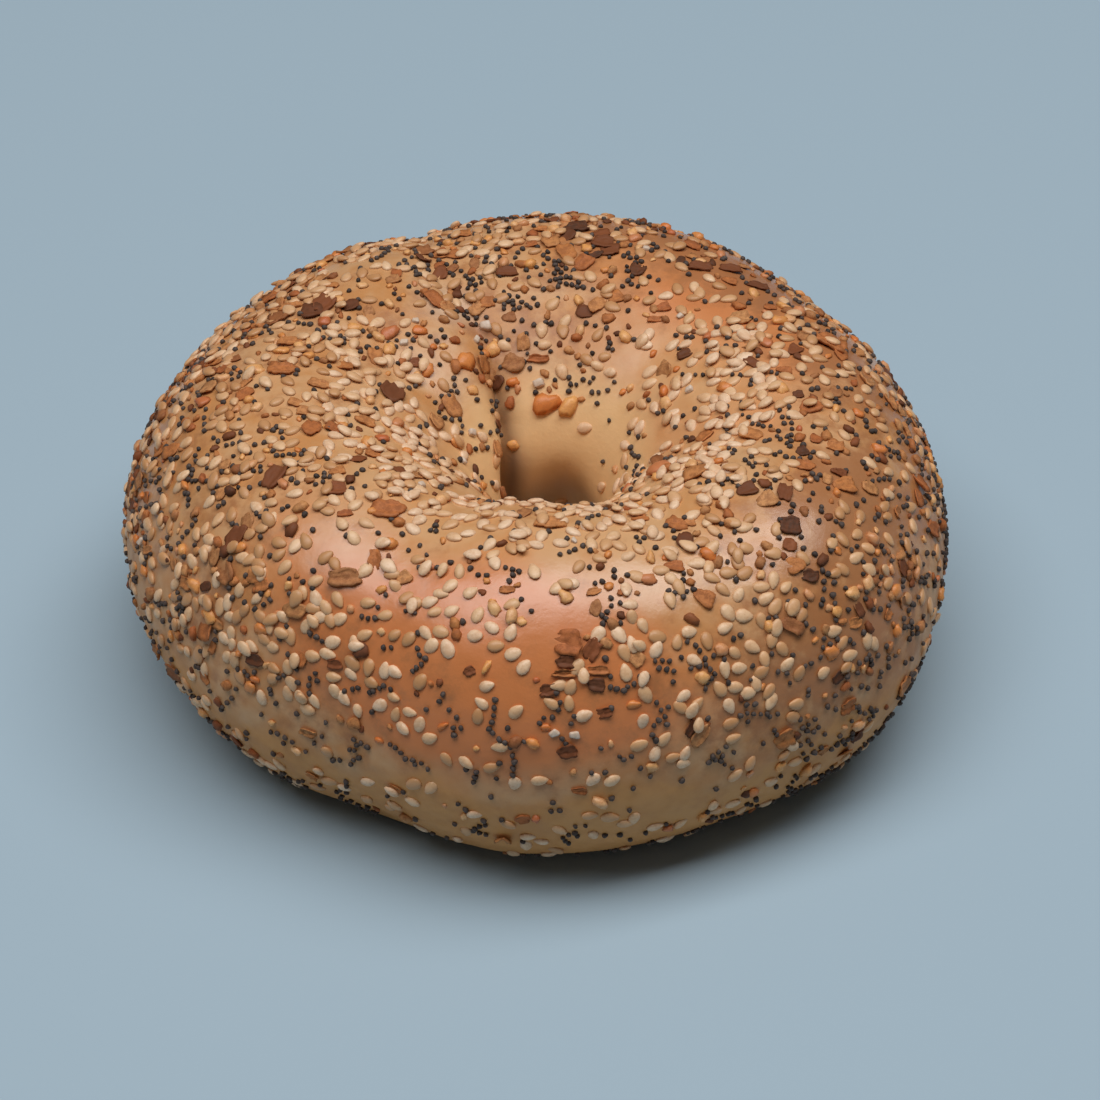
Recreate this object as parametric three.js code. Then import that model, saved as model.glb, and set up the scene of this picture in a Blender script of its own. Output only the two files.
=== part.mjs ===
import * as THREE from 'three';
import { ParametricGeometry } from 'three/addons/geometries/ParametricGeometry.js';

// A hand-rolled bagel: a rope of dough, bent round a finger-wide hole, its ends
// pressed together behind the hole on the left, boiled, and baked on its flat underside.
// Millimetres, +Z up, front towards -Y, right towards +X. The origin is on the table,
// under the middle of the outline.

// Driving dimensions
const HOLE = { x: 2.54, y: -2.15 };    // the hole's axis, seen from the outline's middle
const RIM_RADIUS = 59.5;               // mean distance from the hole's axis to the widest line
const HEIGHT = 47;                     // crest above the table
const RIM_HEIGHT = 0.42 * HEIGHT;      // widest line above the table
const CREST_SHARE = 0.60;              // crest's distance from the axis, as a share of the rim's
const THROAT_RADIUS = 7.6;             // narrowest part of the hole
const THROAT_HEIGHT = 21.5;
const THROAT_TILT = 5.5;               // the throat is so much higher behind and lower in front
const BASE_SHARE = 0.775;              // outer edge of the flat underside, as a share of the rim's
const BASE_INNER_RADIUS = 22;          // inner edge of the flat underside

// Fullness of the four rounded quarters of the section: 2 is an ellipse, more is squarer
const SHOULDER_FULLNESS = 2.1;         // crest down to the rim
const BOWL_FULLNESS = 1.9;             // crest down into the hole
const FOOT_FULLNESS = 1.7;             // rim and throat down to the underside

// The rim isn't round: slow waves of its radius, each with so many turns round the ring
const RIM_WAVES = [
  { turns: 1, alongX: -1.90, alongY: 2.02 },
  { turns: 2, alongX: 1.07, alongY: -0.97 },
  { turns: 3, alongX: -0.63, alongY: -0.38 },
  { turns: 4, alongX: 0.41, alongY: -0.06 },
];

// Bulges and hollows of the dough: bearing from +X, half-width in degrees, rise of the surface
const LUMPS = [
  { bearing: 40, spread: 12, rise: -0.7 },
  { bearing: 68, spread: 14, rise: 0.4 },
  { bearing: 112, spread: 13, rise: -0.4 },
  { bearing: 158, spread: 9, rise: -0.6 },
  { bearing: 218, spread: 10, rise: 0.6 },
  { bearing: 240, spread: 10, rise: -1.0 },
  { bearing: 265, spread: 12, rise: 0.6 },
  { bearing: 300, spread: 11, rise: -0.7 },
  { bearing: 324, spread: 12, rise: 1.1 },
];
const LUMPS_FROM = 10;                 // radii between which the bulges fade in
const LUMPS_TO = 22;

// The joint of the rope's two ends: a crease across the ring, with the left end lying over it
const SEAM = {
  throatDepth: 2.6,
  crestDepth: 0.8,
  deepTo: 11,                          // radii between which the depth changes over
  shallowFrom: 27,
  width: 1.5,                          // half-width at the throat
  widening: 0.10,                      // added half-width for each mm outwards
  lipRise: 0.5,                        // how far the overlapping end stands up
  lipEdge: 2.5,
  lipReach: 8,
  lipWidening: 0.35,
};

// Where the crease runs: its bearing at some distances from the hole's axis
const SEAM_PATH = [
  { radius: 7, bearing: 135 },
  { radius: 10.5, bearing: 124.5 },
  { radius: 14, bearing: 121 },
  { radius: 19, bearing: 116.5 },
  { radius: 26, bearing: 119 },
  { radius: 34, bearing: 120 },
  { radius: 44, bearing: 115 },
];

// Two hollows in the hole's back wall, with a ridge between them
const POCKETS = [
  { bearing: 71, spread: 22, depth: 2.2, top: 30.5 },
  { bearing: 138, spread: 16, depth: 3.2, top: 32.5 },
];
const POCKET_FADE = 11.5;              // depth below its top at which a hollow is full
const POCKETS_TO = 9;                  // radii between which the hollows fade out
const POCKETS_END = 15;

const LIFT_HEIGHT = 5;                 // bulges and crease fade out towards the underside
const CORE_HEIGHT = 0.45 * HEIGHT;     // middle of the section, from which they point away

// Facets round the ring and along the five stretches of the section
const FACETS_ROUND = 100;
const FACETS_BASE = 3;
const FACETS_FOOT = 8;
const FACETS_SHOULDER = 11;
const FACETS_BOWL = 12;
const FACETS_UNDERCUT = 7;

const TURN = 2 * Math.PI;
const QUARTER_TURN = Math.PI / 2;

function easeBetween(low, high, value) {
  return THREE.MathUtils.smoothstep(value, low, high);
}

// Difference of two bearings in degrees, between -180 and 180
function bearingDifference(a, b) {
  return THREE.MathUtils.euclideanModulo(a - b + 180, 360) - 180;
}

// Distance from the hole's axis to the widest line, at an angle round the ring
function rimRadius(angle) {
  let radius = RIM_RADIUS;
  for (const wave of RIM_WAVES) {
    radius += wave.alongX * Math.cos(wave.turns * angle);
    radius += wave.alongY * Math.sin(wave.turns * angle);
  }
  return radius;
}

// A rounded quarter from a level point (share 0) to an upright point (share 1).
// out goes from 0 to 1 as the curve leaves the level point, and drop likewise.
function roundedQuarter(share, fullness) {
  const angle = share * QUARTER_TURN;
  return {
    out: Math.sin(angle) ** (2 / fullness),
    drop: 1 - Math.cos(angle) ** (2 / fullness),
  };
}

// The closed section of the dough as stretches: each gives the radius and height
// at a share of its length, from the underside's inner edge outwards, up and over.
function sectionStretches(rim, angle) {
  const crest = CREST_SHARE * rim;
  const foot = BASE_SHARE * rim;
  const throatHeight = THROAT_HEIGHT + THROAT_TILT * Math.sin(angle);
  const base = (share) => ({
    radius: THREE.MathUtils.lerp(BASE_INNER_RADIUS, foot, share),
    height: 0,
  });
  const outerFoot = (share) => {
    const curve = roundedQuarter(share, FOOT_FULLNESS);
    return {
      radius: foot + (rim - foot) * curve.out,
      height: RIM_HEIGHT * curve.drop,
    };
  };
  const shoulder = (share) => {
    const curve = roundedQuarter(1 - share, SHOULDER_FULLNESS);
    return {
      radius: crest + (rim - crest) * curve.out,
      height: HEIGHT - (HEIGHT - RIM_HEIGHT) * curve.drop,
    };
  };
  const bowl = (share) => {
    const curve = roundedQuarter(share, BOWL_FULLNESS);
    return {
      radius: crest - (crest - THROAT_RADIUS) * curve.out,
      height: HEIGHT - (HEIGHT - throatHeight) * curve.drop,
    };
  };
  const undercut = (share) => {
    const curve = roundedQuarter(1 - share, FOOT_FULLNESS);
    return {
      radius: BASE_INNER_RADIUS - (BASE_INNER_RADIUS - THROAT_RADIUS) * curve.out,
      height: throatHeight * curve.drop,
    };
  };
  return [
    { facets: FACETS_BASE, at: base },
    { facets: FACETS_FOOT, at: outerFoot },
    { facets: FACETS_SHOULDER, at: shoulder },
    { facets: FACETS_BOWL, at: bowl },
    { facets: FACETS_UNDERCUT, at: undercut },
  ];
}

// The point of the section that so many facets lead to, counted round it from its start
function sectionPoint(rim, angle, facetsAlong) {
  let left = facetsAlong;
  for (const stretch of sectionStretches(rim, angle)) {
    if (left < stretch.facets) {
      return stretch.at(left / stretch.facets);
    }
    left -= stretch.facets;
  }
  return { radius: BASE_INNER_RADIUS, height: 0 };
}

function lumpRise(bearing) {
  let rise = 0;
  for (const lump of LUMPS) {
    const away = bearingDifference(bearing, lump.bearing) / lump.spread;
    rise += lump.rise * Math.exp(-away * away);
  }
  return rise;
}

// Bearing of the crease at a distance from the hole's axis
function creaseBearing(radius) {
  let bearing = SEAM_PATH[0].bearing;
  for (let i = 1; i < SEAM_PATH.length; i += 1) {
    const from = SEAM_PATH[i - 1];
    const to = SEAM_PATH[i];
    bearing += (to.bearing - from.bearing) * easeBetween(from.radius, to.radius, radius);
  }
  return bearing;
}

// The crease and the lip beside it, by the distance across the crease
function seamRise(bearing, radius) {
  const turned = bearingDifference(bearing, creaseBearing(radius));
  const across = THREE.MathUtils.degToRad(turned) * radius;
  const outwards = radius - THROAT_RADIUS;
  const shallow = easeBetween(SEAM.deepTo, SEAM.shallowFrom, radius);
  const depth = THREE.MathUtils.lerp(SEAM.throatDepth, SEAM.crestDepth, shallow);
  const width = SEAM.width + SEAM.widening * outwards;
  const groove = depth * Math.exp(-(Math.abs(across / width) ** 1.5));
  if (across <= 0) {
    return -groove;
  }
  const reach = SEAM.lipReach + SEAM.lipWidening * radius;
  const started = 1 - Math.exp(-((across / SEAM.lipEdge) ** 2));
  const lip = SEAM.lipRise * started * Math.exp(-((across / reach) ** 2));
  return lip - groove;
}

// The hollows in the hole's back wall
function pocketRise(bearing, point) {
  let rise = 0;
  for (const pocket of POCKETS) {
    const away = bearingDifference(bearing, pocket.bearing) / pocket.spread;
    const below = 1 - easeBetween(pocket.top - POCKET_FADE, pocket.top, point.height);
    rise -= pocket.depth * Math.exp(-away * away) * below;
  }
  return rise * (1 - easeBetween(POCKETS_TO, POCKETS_END, point.radius));
}

// Moves a point of the section away from the dough's core by the bulges, crease and hollows
function raised(point, rim, bearing) {
  const fromCore = new THREE.Vector2(
    point.radius - CREST_SHARE * rim,
    point.height - CORE_HEIGHT,
  ).normalize();
  const lumps = lumpRise(bearing) * easeBetween(LUMPS_FROM, LUMPS_TO, point.radius);
  const lift = easeBetween(0, LIFT_HEIGHT, point.height);
  const rise = (lumps + seamRise(bearing, point.radius) + pocketRise(bearing, point)) * lift;
  return {
    radius: point.radius + rise * fromCore.x,
    height: Math.max(0, point.height + rise * fromCore.y),
  };
}

function bagelGeometry() {
  const facetsAlong = FACETS_BASE + FACETS_FOOT + FACETS_SHOULDER + FACETS_BOWL + FACETS_UNDERCUT;
  const surface = (round, along, target) => {
    const angle = TURN * (round % 1);
    const rim = rimRadius(angle);
    const start = sectionPoint(rim, angle, (along % 1) * facetsAlong);
    const point = raised(start, rim, THREE.MathUtils.radToDeg(angle));
    target.set(
      HOLE.x + point.radius * Math.cos(angle),
      HOLE.y + point.radius * Math.sin(angle),
      point.height,
    );
  };
  return new ParametricGeometry(surface, FACETS_ROUND, facetsAlong);
}

function bakedCrust() {
  return new THREE.MeshStandardMaterial({ color: 0xbe8c5e, roughness: 0.5, metalness: 0 });
}

const bagel = new THREE.Mesh(bagelGeometry(), bakedCrust());
bagel.name = 'bagel';

const model = new THREE.Group();
model.add(bagel);

export default model;
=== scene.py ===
import math

import bmesh
import bpy
import numpy as np
from mathutils import Matrix, Vector, noise
from mathutils.bvhtree import BVHTree


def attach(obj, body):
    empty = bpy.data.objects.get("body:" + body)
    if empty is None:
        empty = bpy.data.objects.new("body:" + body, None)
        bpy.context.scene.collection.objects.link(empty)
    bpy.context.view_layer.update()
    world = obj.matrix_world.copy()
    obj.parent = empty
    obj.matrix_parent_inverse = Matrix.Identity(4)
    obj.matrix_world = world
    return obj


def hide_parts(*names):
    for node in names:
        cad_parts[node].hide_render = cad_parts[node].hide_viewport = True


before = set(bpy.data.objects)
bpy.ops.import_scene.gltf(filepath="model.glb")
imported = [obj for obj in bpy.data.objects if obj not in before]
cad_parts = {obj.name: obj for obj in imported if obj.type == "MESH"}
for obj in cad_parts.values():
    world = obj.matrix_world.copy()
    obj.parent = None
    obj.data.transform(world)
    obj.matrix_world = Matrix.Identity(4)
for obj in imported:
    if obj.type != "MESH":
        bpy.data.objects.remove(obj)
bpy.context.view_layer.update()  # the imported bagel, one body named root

# A hand-rolled bagel with mixed toppings. Lengths are millimetres until a mesh is made,
# bearings are degrees from +X round the hole, and the front is towards -Y.
MM = 0.001
BODY = "root"
CAD_NODE = "bagel"
SEED = 20731

# ---------------------------------------------------------------- the dough's form
HOLE_X = 2.54                    # the hole's axis, seen from the outline's middle
HOLE_Y = -2.15
RIM_RADIUS = 59.5                # mean distance from the hole's axis to the widest line
HEIGHT = 47.0                    # crest above the table
RIM_HEIGHT = 0.42 * HEIGHT
CREST_SHARE = 0.60               # crest's distance from the axis, as a share of the rim's
THROAT_RADIUS = 7.6
THROAT_HEIGHT = 21.5
THROAT_TILT = 5.5                # the throat is so much higher behind and lower in front
BASE_SHARE = 0.775               # outer edge of the flat underside, as a share of the rim's
BASE_INNER_RADIUS = 22.0
SHOULDER_FULLNESS = 2.1          # 2 is an ellipse, more is squarer
BOWL_FULLNESS = 1.9
FOOT_FULLNESS = 1.7
CORE_HEIGHT = 0.45 * HEIGHT      # middle of the section, from which the relief points away
LIFT_HEIGHT = 5.0                # relief fades out towards the underside

# Slow waves of the rim's radius: turns round the ring, amounts along X and along Y
RIM_WAVES = ((1, -1.90, 2.02), (2, 1.07, -0.97), (3, -0.63, -0.38), (4, 0.41, -0.06))

# Bulges and hollows: bearing, half-width in degrees, rise
LUMPS = (
    (40, 12, -0.7), (68, 14, 0.4), (112, 13, -0.4), (158, 9, -0.6), (218, 10, 0.6),
    (240, 10, -1.0), (265, 12, 0.6), (300, 11, -0.7), (324, 12, 1.1),
)
LUMPS_BETWEEN = (10.0, 22.0)     # radii between which they fade in

# The joint of the rope's two ends: a crease, with the left end lying over it
SEAM_DEPTH = 2.6
SEAM_CREST_DEPTH = 0.8
SEAM_DEPTH_BETWEEN = (11.0, 27.0)
SEAM_WIDTH = 1.5
SEAM_WIDENING = 0.10
CREASE_POWER = 1.5               # how its sides curve: 2 is a bell, 1 a sharp fold
CUT_DEPTH = 1.0                  # the sharp line at the bottom of the crease
CUT_WIDTH = 0.5
CUT_BETWEEN = (13.0, 20.0)       # radii between which the line runs out
LIP_RISE = 0.5
LIP_EDGE = 2.5
LIP_REACH = 8.0
LIP_WIDENING = 0.35
# Where the crease runs: distance from the hole's axis, bearing
SEAM_PATH = ((7, 135), (10.5, 124.5), (14, 121), (19, 116.5), (26, 119), (34, 120), (44, 115))

# Two hollows in the hole's back wall: bearing, half-width in degrees, depth, height of its top
POCKETS = ((71, 22, 2.2, 30.5), (138, 16, 3.2, 32.5))
POCKET_FADE = 11.5               # depth below its top at which a hollow is full
POCKETS_BETWEEN = (9.0, 15.0)    # radii between which they fade out

# Mesh of the crust: steps round the ring, and along the stretches of its section
STEPS_ROUND = 460
STEPS_BASE = 10
STEPS_FOOT = 38
STEPS_SHOULDER = 60
STEPS_BOWL = 72
STEPS_UNDERCUT = 32
STEPS_ALONG = STEPS_BASE + STEPS_FOOT + STEPS_SHOULDER + STEPS_BOWL + STEPS_UNDERCUT

# Unevenness of the baked skin: size of its features, how far they rise, where the noise starts
SKIN_RELIEF = ((19.0, 0.45, 0.0), (6.5, 0.16, 7.0), (2.4, 0.055, 13.0))
SKIN_BETWEEN = (THROAT_RADIUS - 1, 2.5 * THROAT_RADIUS)    # radii between which it begins
BLISTER_SIZE = 3.2
BLISTER_RISE = 0.16
BLISTER_RADIUS = 0.42            # as a share of the size
BLISTERED = (3.7 * BLISTER_SIZE, 31.0)     # size of the patches with blisters, start of their noise
BLISTERED_BETWEEN = (0.18, 0.45)           # noise between which a patch gets them


def ease(low, high, value):
    """0 below low, 1 above high, and a smooth rise between them."""
    share = np.clip((value - low) / (high - low), 0.0, 1.0)
    return share * share * (3.0 - 2.0 * share)


def bell(away, spread):
    """1 at 0, falling off smoothly to both sides."""
    return np.exp(-(away / spread) ** 2)


def crease(away, width):
    """1 at 0, falling off to both sides more sharply than a bell."""
    return np.exp(-np.abs(away / width) ** CREASE_POWER)


def turned(bearing, other):
    """The difference of two bearings in degrees, between -180 and 180."""
    return np.mod(bearing - other + 180.0, 360.0) - 180.0


def rim_radius(angle):
    """Distance from the hole's axis to the widest line."""
    radius = np.full_like(angle, RIM_RADIUS)
    for turns, along_x, along_y in RIM_WAVES:
        radius += along_x * np.cos(turns * angle) + along_y * np.sin(turns * angle)
    return radius


def rounded_quarter(share, fullness):
    """How far a rounded quarter has come, out and down, from its level end."""
    angle = np.clip(share, 0.0, 1.0) * math.pi / 2
    return np.sin(angle) ** (2 / fullness), 1 - np.cos(angle) ** (2 / fullness)


def section(rim, angle, along):
    """Radius and height on the closed section, along from 0 to 1 round it."""
    inner_foot = (BASE_INNER_RADIUS, 0.0)
    foot = (BASE_SHARE * rim, 0.0)
    widest = (rim, RIM_HEIGHT)
    crest = (CREST_SHARE * rim, HEIGHT)
    throat = (THROAT_RADIUS, THROAT_HEIGHT + THROAT_TILT * np.sin(angle))
    step = along * STEPS_ALONG
    radius = BASE_INNER_RADIUS + (foot[0] - BASE_INNER_RADIUS) * step / STEPS_BASE
    height = np.zeros_like(radius)
    start = STEPS_BASE
    for steps, level, upright, fullness, backwards in (
        (STEPS_FOOT, foot, widest, FOOT_FULLNESS, False),
        (STEPS_SHOULDER, crest, widest, SHOULDER_FULLNESS, True),
        (STEPS_BOWL, crest, throat, BOWL_FULLNESS, False),
        (STEPS_UNDERCUT, inner_foot, throat, FOOT_FULLNESS, True),
    ):
        share = (step - start) / steps
        out, drop = rounded_quarter(1 - share if backwards else share, fullness)
        here = step >= start
        radius = np.where(here, level[0] + (upright[0] - level[0]) * out, radius)
        height = np.where(here, level[1] + (upright[1] - level[1]) * drop, height)
        start += steps
    return radius, height


def lump_rise(bearing):
    """Bulges and hollows of the rolled rope."""
    rise = np.zeros_like(bearing)
    for middle, spread, amount in LUMPS:
        rise += amount * bell(turned(bearing, middle), spread)
    return rise


def across_seam(bearing, radius):
    """Distance from the crease, above 0 on the end that lies over it."""
    seam = np.full_like(radius, SEAM_PATH[0][1])
    for (inner, start), (outer, end) in zip(SEAM_PATH, SEAM_PATH[1:]):
        seam += (end - start) * ease(inner, outer, radius)
    return np.radians(turned(bearing, seam)) * radius


def seam_rise(bearing, radius):
    """The crease, the sharp line in it near the hole, and the lip beside it."""
    across = across_seam(bearing, radius)
    shallow = ease(*SEAM_DEPTH_BETWEEN, radius)
    depth = SEAM_DEPTH + (SEAM_CREST_DEPTH - SEAM_DEPTH) * shallow
    width = SEAM_WIDTH + SEAM_WIDENING * (radius - THROAT_RADIUS)
    groove = depth * crease(across, width)
    cut_depth = CUT_DEPTH * (1 - ease(*CUT_BETWEEN, radius))
    cut = cut_depth * crease(across, CUT_WIDTH)
    reach = LIP_REACH + LIP_WIDENING * radius
    lip = LIP_RISE * (1 - bell(across, LIP_EDGE)) * bell(across, reach)
    return np.where(across > 0, lip, 0.0) - groove - cut


def pocket_rise(bearing, radius, height):
    """The hollows in the hole's back wall."""
    rise = np.zeros_like(bearing)
    for middle, spread, depth, top in POCKETS:
        below = 1 - ease(top - POCKET_FADE, top, height)
        rise -= depth * bell(turned(bearing, middle), spread) * below
    return rise * (1 - ease(*POCKETS_BETWEEN, radius))


def noise_at(points, size, offset=0.0):
    """Smooth noise from -1 to 1 at points, with features of a size."""
    scaled = points / size + offset
    return np.array([noise.noise(p) for p in scaled])


def blisters_at(points):
    """Low domes scattered over the skin, from 0 to 1."""
    scaled = points / BLISTER_SIZE
    nearest = np.array([noise.voronoi(p)[0][0] for p in scaled])
    chosen = ease(*BLISTERED_BETWEEN, noise_at(points, *BLISTERED))
    return chosen * np.clip(1 - (nearest / BLISTER_RADIUS) ** 2, 0.0, 1.0)


def skin_rise(points, radius):
    """The fine unevenness of the skin, which begins outside the throat."""
    rise = np.zeros(len(points))
    for size, reach, start in SKIN_RELIEF:
        rise += reach * noise_at(points, size, start)
    rise += BLISTER_RISE * blisters_at(points)
    return rise * ease(*SKIN_BETWEEN, radius)


def dough_points(angle, along):
    """The dough's surface at angles round the ring and places along its section."""
    rim = rim_radius(angle)
    radius, height = section(rim, angle, along)
    bearing = np.degrees(angle)
    out = radius - CREST_SHARE * rim
    up = height - CORE_HEIGHT
    length = np.hypot(out, up)
    lumps = lump_rise(bearing) * ease(*LUMPS_BETWEEN, radius)
    skin = skin_rise(placed(radius, height, angle), radius)
    rise = lumps + seam_rise(bearing, radius) + pocket_rise(bearing, radius, height) + skin
    rise *= ease(0.0, LIFT_HEIGHT, height)
    radius = radius + rise * out / length
    height = np.maximum(0.0, height + rise * up / length)
    return placed(radius, height, angle)


def placed(radius, height, angle):
    """Points in the row frame from the ring's own radius, height and angle."""
    return np.stack(
        (HOLE_X + radius * np.cos(angle), HOLE_Y + radius * np.sin(angle), height), axis=-1
    )


TUBE = 1.0      # the plain ring that the dough is shaped from: its tube and its middle radius
RING = 2.0


def plain_ring():
    """A closed tube round the Z axis: a circle stood on edge and spun through a full turn."""
    shape = bmesh.new()
    bmesh.ops.create_circle(shape, segments=STEPS_ALONG, radius=TUBE)
    upright = Matrix.Translation((RING, 0, 0)) @ Matrix.Rotation(math.pi / 2, 4, "X")
    bmesh.ops.transform(shape, matrix=upright, verts=shape.verts)
    bmesh.ops.spin(
        shape, geom=shape.verts[:] + shape.edges[:], cent=(0, 0, 0), axis=(0, 0, 1),
        angle=2 * math.pi, steps=STEPS_ROUND, use_merge=True,
    )
    bmesh.ops.recalc_face_normals(shape, faces=shape.faces)
    mesh = bpy.data.meshes.new("crust")
    shape.to_mesh(mesh)
    shape.free()
    return mesh


def points_of(mesh):
    """The mesh's vertices as an array of rows."""
    flat = np.empty(3 * len(mesh.vertices), np.float32)
    mesh.vertices.foreach_get("co", flat)
    return flat.reshape(-1, 3).astype(float)


def write_points(mesh, points):
    """Puts the mesh's vertices at points in millimetres."""
    mesh.vertices.foreach_set("co", (points * MM).astype(np.float32).ravel())
    mesh.update()


def paint(mesh, name, values):
    """Keeps one number for each vertex, for the mesh's material to read."""
    layer = mesh.attributes.new(name, "FLOAT", "POINT")
    layer.data.foreach_set("value", np.asarray(values, np.float32))


def ring_map(mesh, angle, along):
    """Unrolls the ring: round it across the map, along its section up the map."""
    corners = np.empty(len(mesh.loops), np.int32)
    mesh.loops.foreach_get("vertex_index", corners)
    spots = np.stack((angle[corners] / (2 * math.pi), along[corners]), axis=-1).reshape(-1, 4, 2)
    behind = spots.max(axis=1, keepdims=True) - spots > 0.5
    spots = np.where(behind, spots + 1.0, spots)
    layer = mesh.uv_layers.new(name="OFBake")
    layer.data.foreach_set("uv", spots.astype(np.float32).ravel())


def new_object(name, data):
    """An object of the scene."""
    made = bpy.data.objects.new(name, data)
    bpy.context.scene.collection.objects.link(made)
    return made


def object_of(mesh, material):
    """A finished piece that rides on the bagel."""
    piece = new_object(mesh.name, mesh)
    mesh.materials.append(material)
    mesh.shade_smooth()
    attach(piece, BODY)
    return piece


# ---------------------------------------------------------------- how far the crust is baked
BROWN_BETWEEN = (14.0, 26.0)     # heights between which the pale foot turns brown
BROWN_WANDER = ((16.0, 5.0), (5.5, 2.2))   # size and reach of that boundary's wandering
BROWN_WANDER_START = 3.0         # where its noise starts
GLOSSY_BETWEEN = (26.0, 40.0)    # heights between which the crust grows glossy
MATT_BOWL = 0.9                  # how matt the bowl's back wall stays, and the radii where that ends
MATT_BOWL_RADII = (24.0, 36.0)
CREASE_SHADE = 0.8               # how much painted shade browns the crease, its half-width, and the radii where it fades
CREASE_SHADE_WIDTH = 1.2
CREASE_SHADE_BETWEEN = (14.0, 22.0)
HOLE_SHADE = 0.5                 # how dark the hole's darkest side is
SHADED_SIDE = (129.0, 13.0)      # bearing and half-width of that side, and the heights where it fades
SHADED_SIDE_HEIGHTS = (27.0, 32.0)
DEEP_SHADE = 0.35                # how dark the hole's bottom is all round, and where that fades
DEEP_SHADE_HEIGHTS = (19.0, 27.0)
HOLE_SHADE_RADII = (8.5, 14.0)   # radii between which both kinds of shade fade out
PALE_WALL = 0.85                 # how pale the hole's wall stays, partly less baked dough and partly painted light, and the radii where it browns
PALE_WALL_RADII = (11.0, 18.0)
DARK_DEEPENS = 0.6               # how much painted shade browns the crust where the mix on it is dark
LIGHT_PALES = 0.5                # and how much painted light pales it where the mix is light

# Where the crust glows orange: a point on it, the patch's spread and its strength
GLOW_PATCHES = (
    ((-11, -53, 35), 12, 1.00), ((-19, -48, 37), 11, 0.80), ((-4, -50, 40), 13, 0.80),
    ((5, -55, 35), 10, 0.75), ((14, -54, 34), 9, 0.50), ((-30, -42, 37), 10, 0.50),
    ((-32, -30, 44), 9, 0.35), ((25, 22, 46), 14, 0.70), ((40, 8, 45), 10, 0.50),
    ((30, -8, 45), 9, 0.45), ((18, -4, 42), 8, 0.40), ((24, -50, 34), 9, 0.35), ((8, 38, 46), 10, 0.40),
)
# Where it is baked deep brown
DEEP_PATCHES = (
    ((40, -26, 46), 9, 0.45), ((49, -22, 42), 9, 0.6), ((48, -35, 36), 10, 0.6), ((38, -44, 34), 9, 0.6),
    ((28, -50, 31), 8, 0.45), ((13, -55, 33), 7, 0.4), ((-47, -32, 33), 9, 0.4), ((-28, -47, 31), 9, 0.5),
    ((-56, -10, 33), 9, 0.35), ((10, 38, 46), 8, 0.6), ((26, 36, 44), 9, 0.5), ((44, 8, 46), 8, 0.75),
    ((32, 26, 46), 8, 0.9), ((-52, 18, 38), 10, 0.3), ((54, -2, 36), 10, 0.4),
)
# Where it stays pale and floury
PALE_PATCHES = (((-13.3, 21.6, 44.3), 3.5, 0.8),)

# How much darker the bagel is, with more poppy and onion and less sesame, by bearing:
# in the bowl round the hole and on the outer side, and the radii between which it changes
# above 0 the crust and the seeds are also darkened by painted shade, below 0 lightened by painted light
BOWL_DARKNESS = ((0, -0.45), (45, -0.2), (75, 0.7), (110, 0.7), (145, 0.5), (165, 0.0), (190, -0.4),
                 (270, -0.4), (320, -0.45), (360, -0.45))
SIDE_DARKNESS = ((0, 0.70), (40, 0.65), (75, 0.60), (105, 0.35), (150, 0.3), (180, 0.4), (215, 0.35),
                 (240, 0.05), (285, 0.05), (305, 0.50), (325, 0.75), (360, 0.70))
DARKNESS_BETWEEN = (26.0, 44.0)


def by_bearing(table, bearing):
    """A table's value at a bearing, in between the bearings that it gives."""
    return np.interp(np.mod(bearing, 360.0), *zip(*table))


def darkness_at(bearing, radius):
    """How much darker the crust and the mix on it are than the average; on the crust and the seeds this is
    painted shade, and painted light where below 0.
    """
    bowl = by_bearing(BOWL_DARKNESS, bearing)
    side = by_bearing(SIDE_DARKNESS, bearing)
    return bowl + (side - bowl) * ease(*DARKNESS_BETWEEN, radius)


def patches_at(points, patches):
    """The strength of soft round patches at points."""
    strength = np.zeros(len(points))
    for middle, spread, amount in patches:
        away = np.linalg.norm(points - np.array(middle, float), axis=1)
        strength += amount * bell(away, spread)
    return np.clip(strength, 0.0, 1.0)


def hole_coordinates(points):
    """Bearing in degrees and distance from the hole's axis."""
    x = points[:, 0] - HOLE_X
    y = points[:, 1] - HOLE_Y
    return np.degrees(np.arctan2(y, x)), np.hypot(x, y)


def hole_shade(bearing, radius, height):
    """How shaded the hole is: most on one side of its wall, less round the rest of its bottom."""
    middle, spread = SHADED_SIDE
    side = bell(turned(bearing, middle), spread) * (1 - ease(*SHADED_SIDE_HEIGHTS, height))
    bottom = DEEP_SHADE * (1 - ease(*DEEP_SHADE_HEIGHTS, height))
    return np.maximum(bottom, HOLE_SHADE * side) * (1 - ease(*HOLE_SHADE_RADII, radius))


def crease_shade(bearing, radius):
    """How much painted shade browns the crease near the hole."""
    shade = crease(across_seam(bearing, radius), CREASE_SHADE_WIDTH)
    return shade * (CREASE_SHADE * (1 - ease(*CREASE_SHADE_BETWEEN, radius)))


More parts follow.
